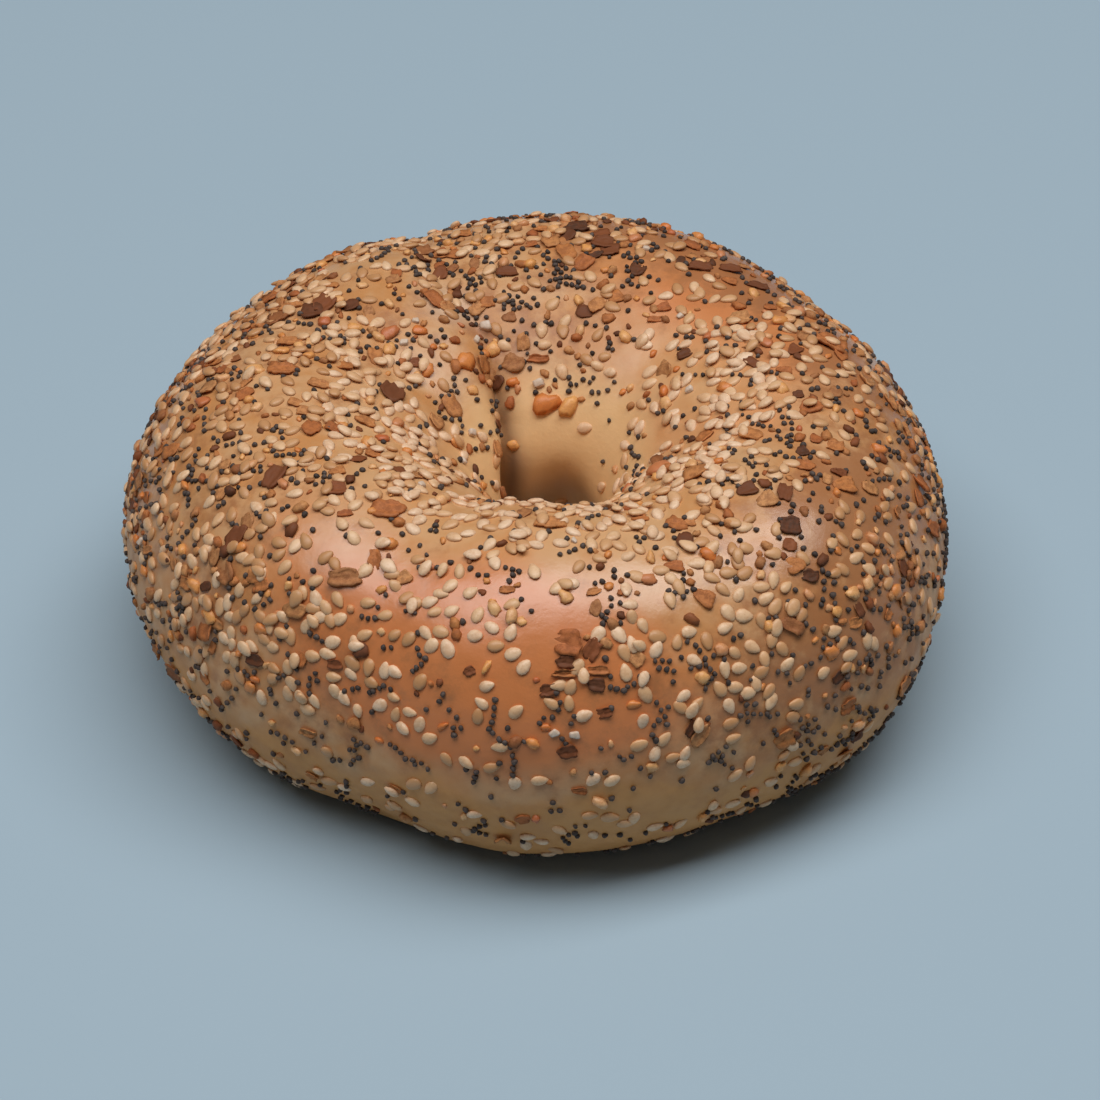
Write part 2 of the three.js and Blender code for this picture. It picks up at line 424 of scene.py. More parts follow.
def bake_crust(mesh, points):
    """Paints how brown, glossy, orange, floury, pale and shaded each place of the crust is; the shade is
    painted shade, and part of the brown and the paleness is painted shade and painted light.
    """
    bearing, radius = hole_coordinates(points)
    height = points[:, 2]
    darkness = darkness_at(bearing, radius)
    wander = sum(reach * noise_at(points, size, BROWN_WANDER_START) for size, reach in BROWN_WANDER)
    matt = MATT_BOWL * (1 - ease(*MATT_BOWL_RADII, radius)) * np.clip(np.sin(np.radians(bearing)), 0, 1)
    wall = PALE_WALL * (1 - ease(*PALE_WALL_RADII, radius))
    # baked deep brown patches, and painted shade where the bagel is darker
    deep = patches_at(points, DEEP_PATCHES) + DARK_DEEPENS * np.clip(darkness, 0, 1)
    paint(mesh, "browned", ease(*BROWN_BETWEEN, height + wander))
    paint(mesh, "glossy", ease(*GLOSSY_BETWEEN, height) * (1 - matt))
    paint(mesh, "glow", patches_at(points, GLOW_PATCHES))
    paint(mesh, "deep", deep)
    paint(mesh, "flour", patches_at(points, PALE_PATCHES))
    # painted shade in the crease
    paint(mesh, "crease", crease_shade(bearing, radius))
    paint(mesh, "shade", hole_shade(bearing, radius, height))
    # pale dough on the hole's wall, partly painted light, and painted light where the bagel is lighter
    paint(mesh, "pale", np.maximum(wall, LIGHT_PALES * np.clip(-darkness, 0, 1)))


def make_crust(material):
    """The whole crust, which stands for the CAD solid."""
    mesh = plain_ring()
    ring = points_of(mesh)
    angle = np.mod(np.arctan2(ring[:, 1], ring[:, 0]), 2 * math.pi)
    out = np.hypot(ring[:, 0], ring[:, 1]) - RING
    along = np.mod(np.arctan2(ring[:, 2], out) / (2 * math.pi), 1.0)
    points = dough_points(angle, along)
    write_points(mesh, points)
    outward = bmesh.new()
    outward.from_mesh(mesh)
    bmesh.ops.recalc_face_normals(outward, faces=outward.faces)
    outward.to_mesh(mesh)
    outward.free()
    ring_map(mesh, angle, along)
    bake_crust(mesh, points)
    crust = object_of(mesh, material)
    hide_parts(CAD_NODE)
    return crust


# ---------------------------------------------------------------- camera
PIXELS = 1100                    # the frame's width and height
CAMERA_ELEVATION = 40.0
CAMERA_DISTANCE = 520.0
CAMERA_TARGET = (HOLE_X - 0.14, HOLE_Y - 7.53, 23.5)
SENSOR = 36.0
CLIP = (0.01, 20.0)              # in metres
PIXELS_PER_MM = 6.80             # at the target
FOCAL_PIXELS = PIXELS_PER_MM * CAMERA_DISTANCE


def camera_axes():
    """The camera's right, up and forward directions."""
    tilt = math.radians(CAMERA_ELEVATION)
    forward = Vector((0, math.cos(tilt), -math.sin(tilt)))
    up = Vector((0, math.sin(tilt), math.cos(tilt)))
    return Vector((1, 0, 0)), up, forward


def camera_place():
    """Where the camera stands, in millimetres."""
    return Vector(CAMERA_TARGET) - CAMERA_DISTANCE * camera_axes()[2]


def make_camera():
    """The camera that looks at the bagel from the front and above."""
    right, up, forward = camera_axes()
    data = bpy.data.cameras.new("camera")
    data.sensor_width = SENSOR
    data.lens = SENSOR * FOCAL_PIXELS / PIXELS
    data.clip_start, data.clip_end = CLIP
    camera = new_object("camera", data)
    turn = Matrix((right, up, -forward)).transposed().to_4x4()
    camera.matrix_world = Matrix.Translation(camera_place() * MM) @ turn
    bpy.context.scene.camera = camera


def sight_line(across, down):
    """The direction in which the camera sees a pixel."""
    right, up, forward = camera_axes()
    middle = PIXELS / 2
    side = right * (across - middle) / FOCAL_PIXELS
    rise = up * (middle - down) / FOCAL_PIXELS
    return (forward + side + rise).normalized()


# ---------------------------------------------------------------- where toppings lie
def in_order(corners):
    """The same faces always in the same order, so that the toppings fall alike in every run."""
    first = corners.argmin(axis=1)[:, None]
    corners = np.take_along_axis(corners, (first + np.arange(4)) % 4, axis=1)
    return corners[np.lexsort(corners.T)]


class Crust:
    """The crust's faces, for laying toppings on it."""

    def __init__(self, mesh):
        points = points_of(mesh) / MM
        corners = np.empty(len(mesh.loops), np.int32)
        mesh.loops.foreach_get("vertex_index", corners)
        corners = in_order(corners.reshape(-1, 4))
        self.points = points
        self.corners = corners
        self.middles = points[corners].mean(axis=1)
        one = points[corners[:, 2]] - points[corners[:, 0]]
        two = points[corners[:, 3]] - points[corners[:, 1]]
        outward = np.cross(one, two)
        self.areas = 0.5 * np.linalg.norm(outward, axis=1)
        self.normals = np.zeros_like(points)
        for corner in corners.T:
            np.add.at(self.normals, corner, outward)
        self.normals /= np.linalg.norm(self.normals, axis=1, keepdims=True)
        self.tree = BVHTree.FromPolygons(points.tolist(), corners.tolist())
        self.sticky, self.darkness, self.above_foot = stickiness(self.middles)
        radius = hole_coordinates(self.middles)[1]
        self.thinned = SEED_BOWL_SHARE + (1 - SEED_BOWL_SHARE) * ease(*SEED_BOWL_FADE, radius)
        self.thinned *= 1 - patches_at(self.middles, SEED_THIN_SPOTS)

    def likelihood(self, low_share, dark):
        """How likely a topping is on each face, with a share of it on the pale foot."""
        darkness = np.maximum(self.darkness, LIGHT_COUNTS * self.darkness)
        mix = 1 + darkness if dark else (1 - darkness) * self.thinned
        return mix * self.sticky * (low_share + (1 - low_share) * self.above_foot)

    def spots(self, count, likelihood, chance):
        """Random places and the crust's directions there, by likelihood for each face."""
        weights = self.areas * likelihood
        faces = chance.choice(len(weights), size=count, p=weights / weights.sum())
        across, up = chance.random((2, count, 1))
        shares = np.stack(
            ((1 - across) * (1 - up), across * (1 - up), across * up, (1 - across) * up), axis=1
        )
        places = (self.points[self.corners[faces]] * shares).sum(axis=1)
        normals = (self.normals[self.corners[faces]] * shares).sum(axis=1)
        return places, normals / np.linalg.norm(normals, axis=1, keepdims=True)

    def nearest(self, point):
        """The closest place on the crust and the crust's direction there."""
        place, _, face, _ = self.tree.find_nearest(Vector(point))
        return np.array(place), self.direction(face)

    def under_pixel(self, across, down):
        """The place that the camera sees at a pixel, and the crust's direction there."""
        place, _, face, _ = self.tree.ray_cast(camera_place(), sight_line(across, down))
        return np.array(place), self.direction(face)

    def direction(self, face):
        """The direction out of the crust in the middle of a face."""
        normal = self.normals[self.corners[face]].mean(axis=0)
        return normal / np.linalg.norm(normal)


class Room:
    """Remembers what lies where, so that toppings keep clear of each other."""

    CELL = 3.0                   # size of the cells that the places are sorted into

    def __init__(self):
        self.cells = {}

    def clear(self, place, reach):
        """True if nothing is nearer than the two reaches together."""
        home = np.floor(place / self.CELL).astype(int)
        for x in (-1, 0, 1):
            for y in (-1, 0, 1):
                for z in (-1, 0, 1):
                    key = (home[0] + x, home[1] + y, home[2] + z)
                    for other, size in self.cells.get(key, ()):
                        gap = other - place
                        if gap.dot(gap) < (size + reach) ** 2:
                            return False
        return True

    def take(self, place, reach):
        """Marks a place as taken."""
        key = tuple(np.floor(place / self.CELL).astype(int))
        self.cells.setdefault(key, []).append((place, reach))


class Pile:
    """Toppings of one kind: which shape each takes, where it lies, how it is turned and its tone."""

    def __init__(self):
        self.rows = []

    def add(self, shape, place, normal, turn, tilt, size, tone):
        self.rows.append((shape, place, normal, turn, tilt, size, tone))


LEAST_SLOPE = 0.05               # where the crust is more level than this, the direction is +X


def level_direction(normal):
    """A direction along the crust, as level as can be."""
    side = Vector((0, 0, 1)).cross(normal)
    if side.length < LEAST_SLOPE:
        side = Vector((1, 0, 0)) - normal * normal.x
    return side.normalized()


def turn_seen(normal, degrees):
    """The turn that points a topping along an angle seen from the camera's right."""
    right, up, _ = camera_axes()
    seen = right * math.cos(math.radians(degrees)) + up * math.sin(math.radians(degrees))
    along = seen - normal * seen.dot(normal)
    level = level_direction(normal)
    return math.atan2(normal.dot(level.cross(along)), level.dot(along))


def turning(normal, turn, tilt):
    """A turning matrix whose Z is the crust's normal, turned about it and tipped over its Y."""
    along = Matrix.Rotation(turn, 3, normal) @ level_direction(normal)
    beside = normal.cross(along)
    tip = Matrix.Rotation(tilt, 3, beside)
    return Matrix((tip @ along, beside, tip @ normal)).transposed()


# ---------------------------------------------------------------- shapes of the toppings
# Each is made about 2 across, from -1 to 1, and is scaled where it is laid.
SESAME_FACES = (9, 6)            # faces round a seed and from end to end
SESAME_SLIMNESS = (0.20, 0.30, 0.42)       # how much narrower the pointed end is, for each shape
SESAME_TAPER = (-0.5, 1.2)       # where along the seed it narrows
SESAME_THINNING = 0.25           # how much of the narrowing its thickness follows
POPPY_FACES = (6, 5)
POPPY_DENTS = (0.15, 0.3)        # for each shape
POPPY_TAPER = 0.12
CRUMB_FACES = (8, 6)
CRUMB_SHAPES = 5
CRUMB_LUMPS = (1.1, 0.55)        # fineness and height of a granule's lumps
CRUMB_CHIPS = (2.7, 0.35)        # the same for its corners, against the lumps
CRUMB_SHIFT = (5.3, 2.7)         # what makes one granule differ from the next
FLAKE_CELLS = (9, 7)
SMALL_FLAKE_CELLS = (6, 4)
FLAKE_SHAPES = 8                 # of each size
FLAKE_SHIFT = (3.7, 1.9)
FLAKE_CURL = (0.20, 0.16)        # mean curl across a flake, and how much it differs
FLAKE_MIDDLE = 0.4               # keeps the curled flake level
FLAKE_ROUNDNESS = 0.8            # 0 is a square outline, 1 a round one
FLAKE_FINENESS = 1.2             # fineness and depth of the dents in its outline
FLAKE_DENTS = 0.36
FLAKE_RIDGES = (7.0, 2.0, 0.06)  # how close, how wavy and how high the ridges are
FLAKE_WARP = (2.1, 0.16)         # fineness and height of its bends
FLAKE_THICKNESS = 0.17
CRYSTAL_SHAPES = 3
CRYSTAL_SIZE = 1.5
CRYSTAL_BEVEL = 0.38
CRYSTAL_WEAR = (0.8, 0.5)        # fineness and depth
CRYSTAL_SHIFT = 4.1


def shape_arrays(shape):
    """A small closed shape as points, faces, and which faces look up."""
    bmesh.ops.recalc_face_normals(shape, faces=shape.faces)
    shape.verts.index_update()
    points = np.array([v.co for v in shape.verts])
    faces = [[v.index for v in face.verts] for face in shape.faces]
    tops = [face.normal.z >= 0 for face in shape.faces]
    shape.free()
    return points, faces, tops


def seed_body(around, lengthwise):
    """A ball of radius 1 with its poles at the two ends of X."""
    shape = bmesh.new()
    bmesh.ops.create_uvsphere(shape, u_segments=around, v_segments=lengthwise, radius=1.0)
    bmesh.ops.rotate(
        shape, verts=shape.verts, cent=(0, 0, 0), matrix=Matrix.Rotation(math.pi / 2, 3, "Y")
    )
    return shape


def sesame_shape(slimness):
    """A flat drop: broad and round at one end, drawn out to a point at the other."""
    shape = seed_body(*SESAME_FACES)
    for vertex in shape.verts:
        point = vertex.co
        narrow = 1.0 - slimness * float(ease(*SESAME_TAPER, point.x))
        point.y *= narrow
        point.z *= 1.0 - SESAME_THINNING + SESAME_THINNING * narrow
    return shape_arrays(shape)


def poppy_shape(dent):
    """A small bean with a dent in one side."""
    shape = seed_body(*POPPY_FACES)
    for vertex in shape.verts:
        point = vertex.co
        point.y += dent * point.x * point.x
        point.z *= 1.0 - POPPY_TAPER * point.x
    return shape_arrays(shape)


def crumb_shape(number):
    """An angular granule."""
    shape = seed_body(*CRUMB_FACES)
    fineness, height = CRUMB_LUMPS
    chip_fineness, chip_height = CRUMB_CHIPS
    for vertex in shape.verts:
        spot = vertex.co * fineness + Vector((number * CRUMB_SHIFT[0], 0, number * CRUMB_SHIFT[1]))
        chips = chip_height * height * noise.noise(spot * chip_fineness)
        vertex.co *= 1.0 + height * noise.noise(spot) + chips
    return shape_arrays(shape)


def flake_shape(number, cells):
    """A curled, ridged chip of onion with an uneven outline."""
    shape = bmesh.new()
    bmesh.ops.create_grid(shape, x_segments=cells[0], y_segments=cells[1], size=1.0)
    shift = Vector((number * FLAKE_SHIFT[0], number * FLAKE_SHIFT[1], 0))
    curl = FLAKE_CURL[0] + FLAKE_CURL[1] * noise.noise(shift)
    closeness, wave, ridge_height = FLAKE_RIDGES
    bend_fineness, bend_height = FLAKE_WARP
    for vertex in shape.verts:
        point = vertex.co
        square = max(abs(point.x), abs(point.y))
        rounding = 1.0 if square == 0 else (square / point.xy.length) ** FLAKE_ROUNDNESS
        uneven = noise.noise(point * FLAKE_FINENESS + shift)
        edge = 1.0 + FLAKE_DENTS * uneven
        ridge = ridge_height * math.sin(closeness * point.y + wave * uneven)
        bend = bend_height * noise.noise(point * bend_fineness + shift)
        point.z = curl * (point.y ** 2 - FLAKE_MIDDLE) + ridge + bend
        point.x *= rounding * edge
        point.y *= rounding * edge
    bmesh.ops.solidify(shape, geom=shape.faces[:], thickness=FLAKE_THICKNESS)
    return shape_arrays(shape)


def crystal_shape(number):
    """A broken cube of coarse salt."""
    shape = bmesh.new()
    bmesh.ops.create_cube(shape, size=CRYSTAL_SIZE)
    bmesh.ops.bevel(
        shape, geom=shape.edges[:], offset=CRYSTAL_BEVEL, offset_type="OFFSET", segments=2,
        profile=0.5, affect="EDGES", material=-1,
    )
    fineness, depth = CRYSTAL_WEAR
    shift = Vector((number * CRYSTAL_SHIFT, 0, 0))
    for vertex in shape.verts:
        vertex.co *= 1.0 + depth * noise.noise(fineness * vertex.co + shift)
    return shape_arrays(shape)


def topping_shapes():
    """The shapes that each kind of topping comes in."""
    crumbs = [crumb_shape(number) for number in range(CRUMB_SHAPES)]
    flakes = [
        flake_shape(number, cells) for cells in (FLAKE_CELLS, SMALL_FLAKE_CELLS)
        for number in range(FLAKE_SHAPES)
    ]
    return {
        "onion": flakes + crumbs,
        "sesame": [sesame_shape(slimness) for slimness in SESAME_SLIMNESS],
        "garlic": crumbs,
        "poppy": [poppy_shape(dent) for dent in POPPY_DENTS],
        "salt": [crystal_shape(number) for number in range(CRYSTAL_SHAPES)],
    }


# ---------------------------------------------------------------- joined pieces
MAP_REACH = 0.46                 # how far a shape reaches from the middle of its half of a map cell
UPPER_MIDDLE = 0.25              # where the two halves have their middles, across the cell
UNDER_MIDDLE = 0.75


def map_corners(points, faces, tops):
    """Corners of a shape in its own map cell: the upper side on the left, the under side right."""
    reach = np.abs(points).max(axis=0)
    corners = []
    for face, top in zip(faces, tops):
        middle = UPPER_MIDDLE if top else UNDER_MIDDLE
        for index in face:
            x, y, _ = points[index] / reach
            corners.append((middle + 0.5 * MAP_REACH * x, 0.5 + MAP_REACH * y))
    return np.array(corners)


def joined_piece(name, shapes, pile, material):
    """All toppings of one kind as one mesh, each with its tone and its own coordinates."""
    columns = math.ceil(math.sqrt(len(pile.rows)))
    maps = [map_corners(*shape) for shape in shapes]
    points, faces, tones, own, spots = [], [], [], [], []
    first = 0
    for number, (kind, place, normal, turn, tilt, size, tone) in enumerate(pile.rows):
        form, form_faces, _ = shapes[kind]
        matrix = np.array(turning(Vector(normal), turn, tilt))
        points.append((form * size) @ matrix.T + place)
        faces.extend([index + first for index in face] for face in form_faces)
        first += len(form)
        tones.append(np.full(len(form), tone))
        own.append(form)
        cell = np.array((number % columns, number // columns))
        spots.append((maps[kind] + cell) / columns)
    mesh = bpy.data.meshes.new(name)
    mesh.from_pydata((np.concatenate(points) * MM).tolist(), [], faces)
    paint(mesh, "tone", np.concatenate(tones))
    layer = mesh.attributes.new("own", "FLOAT_VECTOR", "POINT")
    layer.data.foreach_set("vector", np.concatenate(own).astype(np.float32).ravel())
    chart = mesh.uv_layers.new(name="OFBake")
    chart.data.foreach_set("uv", np.concatenate(spots).astype(np.float32).ravel())
    return object_of(mesh, material)


# ---------------------------------------------------------------- scattering
# How thickly the toppings lie, by bearing: front 270, right 0, back 90, left 180
THICKNESS = ((0, 1.2), (45, 0.9), (75, 1.25), (110, 1.6), (150, 1.75), (190, 1.5), (225, 1.1),
             (255, 0.8), (290, 0.9), (325, 1.3), (360, 1.3))
# Bare spots: a point on the crust, its spread, and how bare it is
BARE_SPOTS = (
    ((-7, -49, 40), 8, 0.75), ((-20, -46, 38), 6, 0.5), ((1, -41, 46), 5, 0.4), ((22, 23, 47), 7, 0.5),
    ((-4, -57, 20), 8, 0.5), ((24, -53, 20), 9, 0.6), ((-13, 20, 43), 4, 0.8),
)
# The hole's wall is bare below these heights: bearing, height
BARE_WALL = ((0, 29), (45, 30), (62, 34), (75, 36.5), (108, 36.5), (122, 33), (140, 31), (160, 26),
             (190, 27), (230, 30), (330, 33), (360, 29))
BARE_WALL_FADE = (-1.0, 2.0)     # from under to over them, between which the toppings begin
BARE_WALL_RADIUS = 0.5 * RIM_RADIUS        # the wall lies within this radius
FOOT_FADE = (23.0, 33.0)         # heights between which the toppings thin out towards the foot
FOOT_WANDER = 3.0                # reach of that edge's wandering, its size and the start of its noise
FOOT_NOISE = (9.0, 5.0)
EDGE_FADE = (2.0, 5.0)           # heights between which they end
BOWL_SHARE = 0.55                # how thick the toppings are in the bowl, and the radii where it thins out
BOWL_FADE = (11.0, 22.0)
SEED_BOWL_SHARE = 0.35           # how much thinner still the pale seeds lie there
SEED_BOWL_FADE = (12.0, 30.0)
# Where the pale seeds are sparse: a point on the crust, its spread, and how sparse
SEED_THIN_SPOTS = (((-3, -55, 31), 13, 0.85), ((-18, -53, 30), 9, 0.6), ((12, -55, 31), 9, 0.5))
CLUMPS = (7.0, 21.0)             # size of the clumps, and the start of their noise
CLUMPS_BETWEEN = (-0.45, 0.5)    # noise between which a clump thickens
CLUMP_SHARES = (0.55, 0.9)       # how thick it is between the clumps, and how much thicker in them
LIGHT_COUNTS = 0.4               # how much of a light place's lightness the mix follows


def stickiness(points):
    """How likely a topping is to stick at each place, how dark the mix is and how far from the foot."""
    bearing, radius = hole_coordinates(points)
    height = points[:, 2]
    likely = by_bearing(THICKNESS, bearing)
    likely *= ease(*EDGE_FADE, height)
    above_wall = ease(*BARE_WALL_FADE, height - by_bearing(BARE_WALL, bearing))
    likely *= np.where(radius < BARE_WALL_RADIUS, above_wall, 1.0)
    likely *= BOWL_SHARE + (1 - BOWL_SHARE) * ease(*BOWL_FADE, radius)
    between, more = CLUMP_SHARES
    likely *= between + more * ease(*CLUMPS_BETWEEN, noise_at(points, *CLUMPS))
    likely *= 1 - patches_at(points, BARE_SPOTS)
    above_foot = ease(*FOOT_FADE, height + FOOT_WANDER * noise_at(points, *FOOT_NOISE))
    return likely, darkness_at(bearing, radius), above_foot


# ---------------------------------------------------------------- toppings placed one by one
# Sesame seeds: across and down in the camera's pixels, turn in degrees
SESAME_SEEN = (
    (365, 635, 20), (395, 635, 30), (452, 611, 25), (478, 615, 65), (441, 632, -15), (475, 636, 0),
    (511, 632, 70), (496, 646, 5), (513, 654, 20), (524, 667, 50), (487, 686, 20), (395, 672, -25),
    (394, 697, -10), (410, 712, -5), (396, 714, 60), (403, 728, -25), (420, 724, 60), (430, 738, 25),
    (478, 716, 80), (466, 762, -35), (492, 767, 20), (569, 703, 95), (540, 780, 0), (612, 780, 20),
    (639, 745, 25), (655, 753, 75), (673, 757, 0), (685, 753, 80), (723, 590, -40), (761, 587, 5),
    (786, 587, 40), (745, 573, 40), (775, 607, 55), (792, 609, -45), (728, 613, -50), (744, 616, 0),
    (725, 628, 25), (761, 621, -75), (689, 632, 10), (677, 642, 80), (656, 650, 65), (752, 647, -25),
    (782, 649, -45), (739, 668, 0), (761, 672, 35), (799, 673, 75), (735, 687, -5), (729, 706, -55),
    (697, 704, 50), (731, 723, 10), (733, 738, 15), (834, 631, 10), (867, 641, -70), (793, 717, -30),
    (670, 600, -80), (632, 618, -70), (619, 635, -50), (475, 814, 0), (508, 824, -10), (528, 836, -10),
    (590, 815, 0), (610, 817, -20), (625, 823, 0), (655, 826, 10), (735, 775, 35), (205, 600, 0),
    (228, 602, 80), (217, 580, 70), (240, 590, 50), (238, 616, 45), (178, 624, 20), (308, 709, 0),
    (334, 677, 0), (335, 691, -80), (313, 656, 0), (328, 654, -15), (273, 647, 0), (288, 667, 80),
    (262, 697, 80), (288, 693, 80), (235, 660, 60), (252, 647, -20), (290, 636, -70), (330, 620, -60),
    (368, 603, 0), (460, 518, 0), (490, 516, 0), (430, 513, 10), (333, 642, 20), (345, 787, -35),
    (585, 428, 10), (640, 428, 60), (665, 450, 20), (720, 445, 0), (697, 490, 0), (655, 490, -40),
    (640, 487, 0), (650, 384, 20), (650, 372, 30), (605, 357, 10), (587, 360, -40), (565, 322, 60),
    (545, 345, 10), (562, 372, -70), (693, 362, 60), (430, 602, 10), (445, 437, 0), (420, 490, -40),
    (602, 487, 15), (617, 486, 40), (560, 502, 5), (585, 508, 0), (610, 508, -10),
)
# Onion: across, down, turn, length in mm, width as a share of it, tone (0 red-brown, 0.6 tan, 1 black)
ONION_SEEN = (
    (568, 643, -10, 4.3, 0.80, 0.05), (566, 662, 0, 2.8, 0.6, 0.90), (565, 673, 0, 3.6, 0.3, 0.2),
    (548, 690, 15, 2.6, 0.7, 0.85), (592, 650, 60, 3.2, 0.7, 0.75), (598, 670, 0, 3.2, 0.4, 0.15),
    (597, 685, -10, 2.6, 0.7, 0.95), (568, 751, 10, 2.9, 0.7, 0.85), (470, 671, 20, 1.8, 0.7, 0.8),
    (578, 229, 12, 4.2, 0.6, 1.0), (603, 243, -30, 3.6, 0.8, 0.85), (595, 256, 30, 2.4, 0.6, 1.0),
    (638, 270, 70, 2.8, 0.8, 0.95), (507, 273, 0, 3.6, 0.5, 0.85), (488, 303, 10, 2.4, 0.8, 0.2),
    (700, 268, -5, 3.8, 0.5, 0.85), (730, 270, -10, 3.8, 0.5, 0.85), (757, 287, -25, 3.4, 0.5, 0.9),
    (663, 308, 10, 2.6, 0.6, 0.05), (655, 320, 0, 2.4, 0.4, 0.1), (740, 320, -10, 3.8, 0.7, 0.5),
    (770, 308, 0, 2.0, 0.8, 0.1), (538, 359, 0, 3.4, 0.35, 0.05), (545, 231, -10, 3.4, 0.4, 0.25),
    (325, 305, 70, 4.0, 0.8, 0.8), (290, 308, 0, 3.8, 0.35, 0.3), (290, 286, 20, 2.2, 0.9, 0.8),
    (325, 263, 10, 4.0, 0.6, 0.4), (290, 343, 20, 3.8, 0.5, 0.3), (283, 370, 0, 4.0, 0.75, 0.15),
    (245, 395, 40, 2.8, 0.8, 0.1), (235, 360, 0, 2.2, 0.7, 0.7), (320, 385, -10, 3.2, 0.6, 0.35),
    (393, 393, 60, 4.4, 0.9, 0.88), (338, 430, 0, 3.4, 0.6, 0.1), (366, 423, -10, 3.4, 0.5, 0.3),
    (305, 412, 0, 2.6, 0.7, 0.4), (440, 256, 0, 2.4, 0.8, 0.2), (447, 307, 20, 2.4, 0.9, 0.4),
    (415, 363, 0, 1.8, 0.8, 0.8), (275, 478, 75, 4.6, 0.6, 0.85), (335, 490, 0, 3.8, 0.6, 0.75),
    (338, 472, 0, 2.4, 0.8, 0.3), (388, 510, 0, 4.3, 0.80, 0.10), (345, 514, 10, 2.4, 0.4, 0.05),
    (375, 455, 0, 3.0, 0.8, 0.2), (237, 538, 40, 4.2, 0.65, 0.85), (345, 578, 0, 5.0, 0.5, 0.62),
    (375, 560, 90, 3.0, 0.6, 0.15), (262, 585, 10, 2.4, 0.8, 0.2), (405, 578, 30, 2.2, 0.9, 0.45),
    (507, 590, 0, 2.2, 0.5, 0.2), (550, 525, 0, 4.4, 0.6, 0.35), (640, 519, -20, 2.4, 0.8, 0.15),
    (705, 437, 60, 2.8, 0.8, 0.2), (785, 493, 75, 3.2, 0.7, 0.85), (748, 490, 30, 3.0, 0.8, 0.9),
    (790, 526, 0, 3.4, 0.8, 1.0), (675, 567, 0, 2.8, 0.6, 0.1), (594, 592, 20, 2.2, 0.5, 0.3),
    (785, 738, 10, 3.4, 0.9, 0.25), (848, 706, 0, 2.8, 0.9, 0.15), (903, 686, -30, 3.6, 0.9, 0.3),
    (888, 614, 30, 2.0, 0.8, 0.2), (855, 623, 10, 2.2, 0.8, 0.3), (830, 345, -30, 5.4, 0.6, 0.15),
    (795, 350, 60, 2.6, 0.8, 0.8), (785, 371, -20, 2.4, 0.6, 0.1), (798, 395, 0, 1.8, 0.9, 0.95),
    (835, 447, 0, 2.8, 0.8, 0.25), (803, 452, 30, 2.0, 0.9, 1.0), (805, 466, 0, 2.6, 0.9, 0.15),
    (840, 474, 0, 2.8, 0.5, 0.8), (845, 486, 20, 3.8, 0.7, 0.25), (905, 430, 75, 2.8, 0.6, 0.4),
    (890, 402, 70, 3.0, 0.8, 0.35), (700, 735, 60, 3.8, 0.6, 0.55), (690, 728, 70, 2.6, 0.5, 0.95),
    (187, 583, -10, 3.0, 0.7, 0.3), (160, 450, 0, 2.4, 0.9, 0.2), (148, 550, 0, 2.6, 0.5, 0.35),
    (255, 659, 0, 3.2, 0.6, 0.95), (205, 677, 0, 2.2, 0.9, 0.2), (335, 664, 0, 2.4, 0.6, 0.75),
    (308, 732, 0, 2.8, 0.5, 0.45), (397, 788, -20, 2.0, 0.6, 0.3), (312, 775, 0, 2.2, 0.7, 0.3),
    (580, 790, -10, 2.2, 0.6, 0.1), (857, 735, 0, 2.4, 0.9, 0.95), (605, 712, 20, 2.2, 0.8, 0.8),
    (810, 576, 0, 2.6, 0.7, 1.0), (690, 523, 0, 1.8, 0.8, 0.3),
)
# Garlic, in the same way (tone 0 orange, 0.33 golden, 0.66 cream, 1 amber red)
GARLIC_SEEN = (
    (547, 403, 25, 4.2, 0.75, 0.05), (568, 407, 60, 3.8, 0.6, 0.36), (660, 470, 0, 3.9, 0.8, 0.92),
    (465, 362, 60, 3.2, 0.9, 0.1), (420, 331, 10, 2.2, 0.8, 0.0), (390, 333, 50, 2.8, 0.8, 0.95),
    (389, 350, 80, 2.4, 0.8, 0.4), (255, 371, 0, 3.0, 0.7, 0.45), (355, 328, 0, 2.2, 0.7, 0.35),
    (472, 390, 0, 1.8, 0.9, 0.45), (545, 727, 10, 1.7, 0.6, 0.0), (634, 704, 10, 1.9, 0.6, 0.1),
    (443, 726, 40, 1.8, 0.5, 0.0), (262, 629, 0, 2.2, 0.8, 0.1), (830, 652, 20, 2.4, 0.9, 0.1),
    (702, 677, 0, 2.2, 0.8, 0.45), (255, 679, 0, 1.6, 0.7, 0.0), (379, 740, 0, 1.4, 0.7, 0.0),
    (513, 445, 20, 2.0, 0.8, 0.35), (430, 568, 0, 1.8, 0.5, 0.95), (648, 580, 0, 2.3, 0.7, 0.9),
    (487, 667, 60, 2.2, 0.4, 0.3), (627, 488, 0, 1.6, 0.8, 0.95), (725, 388, 0, 2.4, 0.7, 0.1),
)
# Salt: across, down, turn, length in mm
SALT_SEEN = (
    (485, 326, 0, 2.4), (471, 433, 0, 1.9), (538, 384, 20, 2.3), (680, 317, 45, 1.4), (404, 343, 0, 1.7),
    (415, 321, 0, 1.4), (690, 390, 0, 1.7), (646, 249, 0, 1.4), (574, 734, 0, 1.8), (421, 486, 45, 1.6),
)
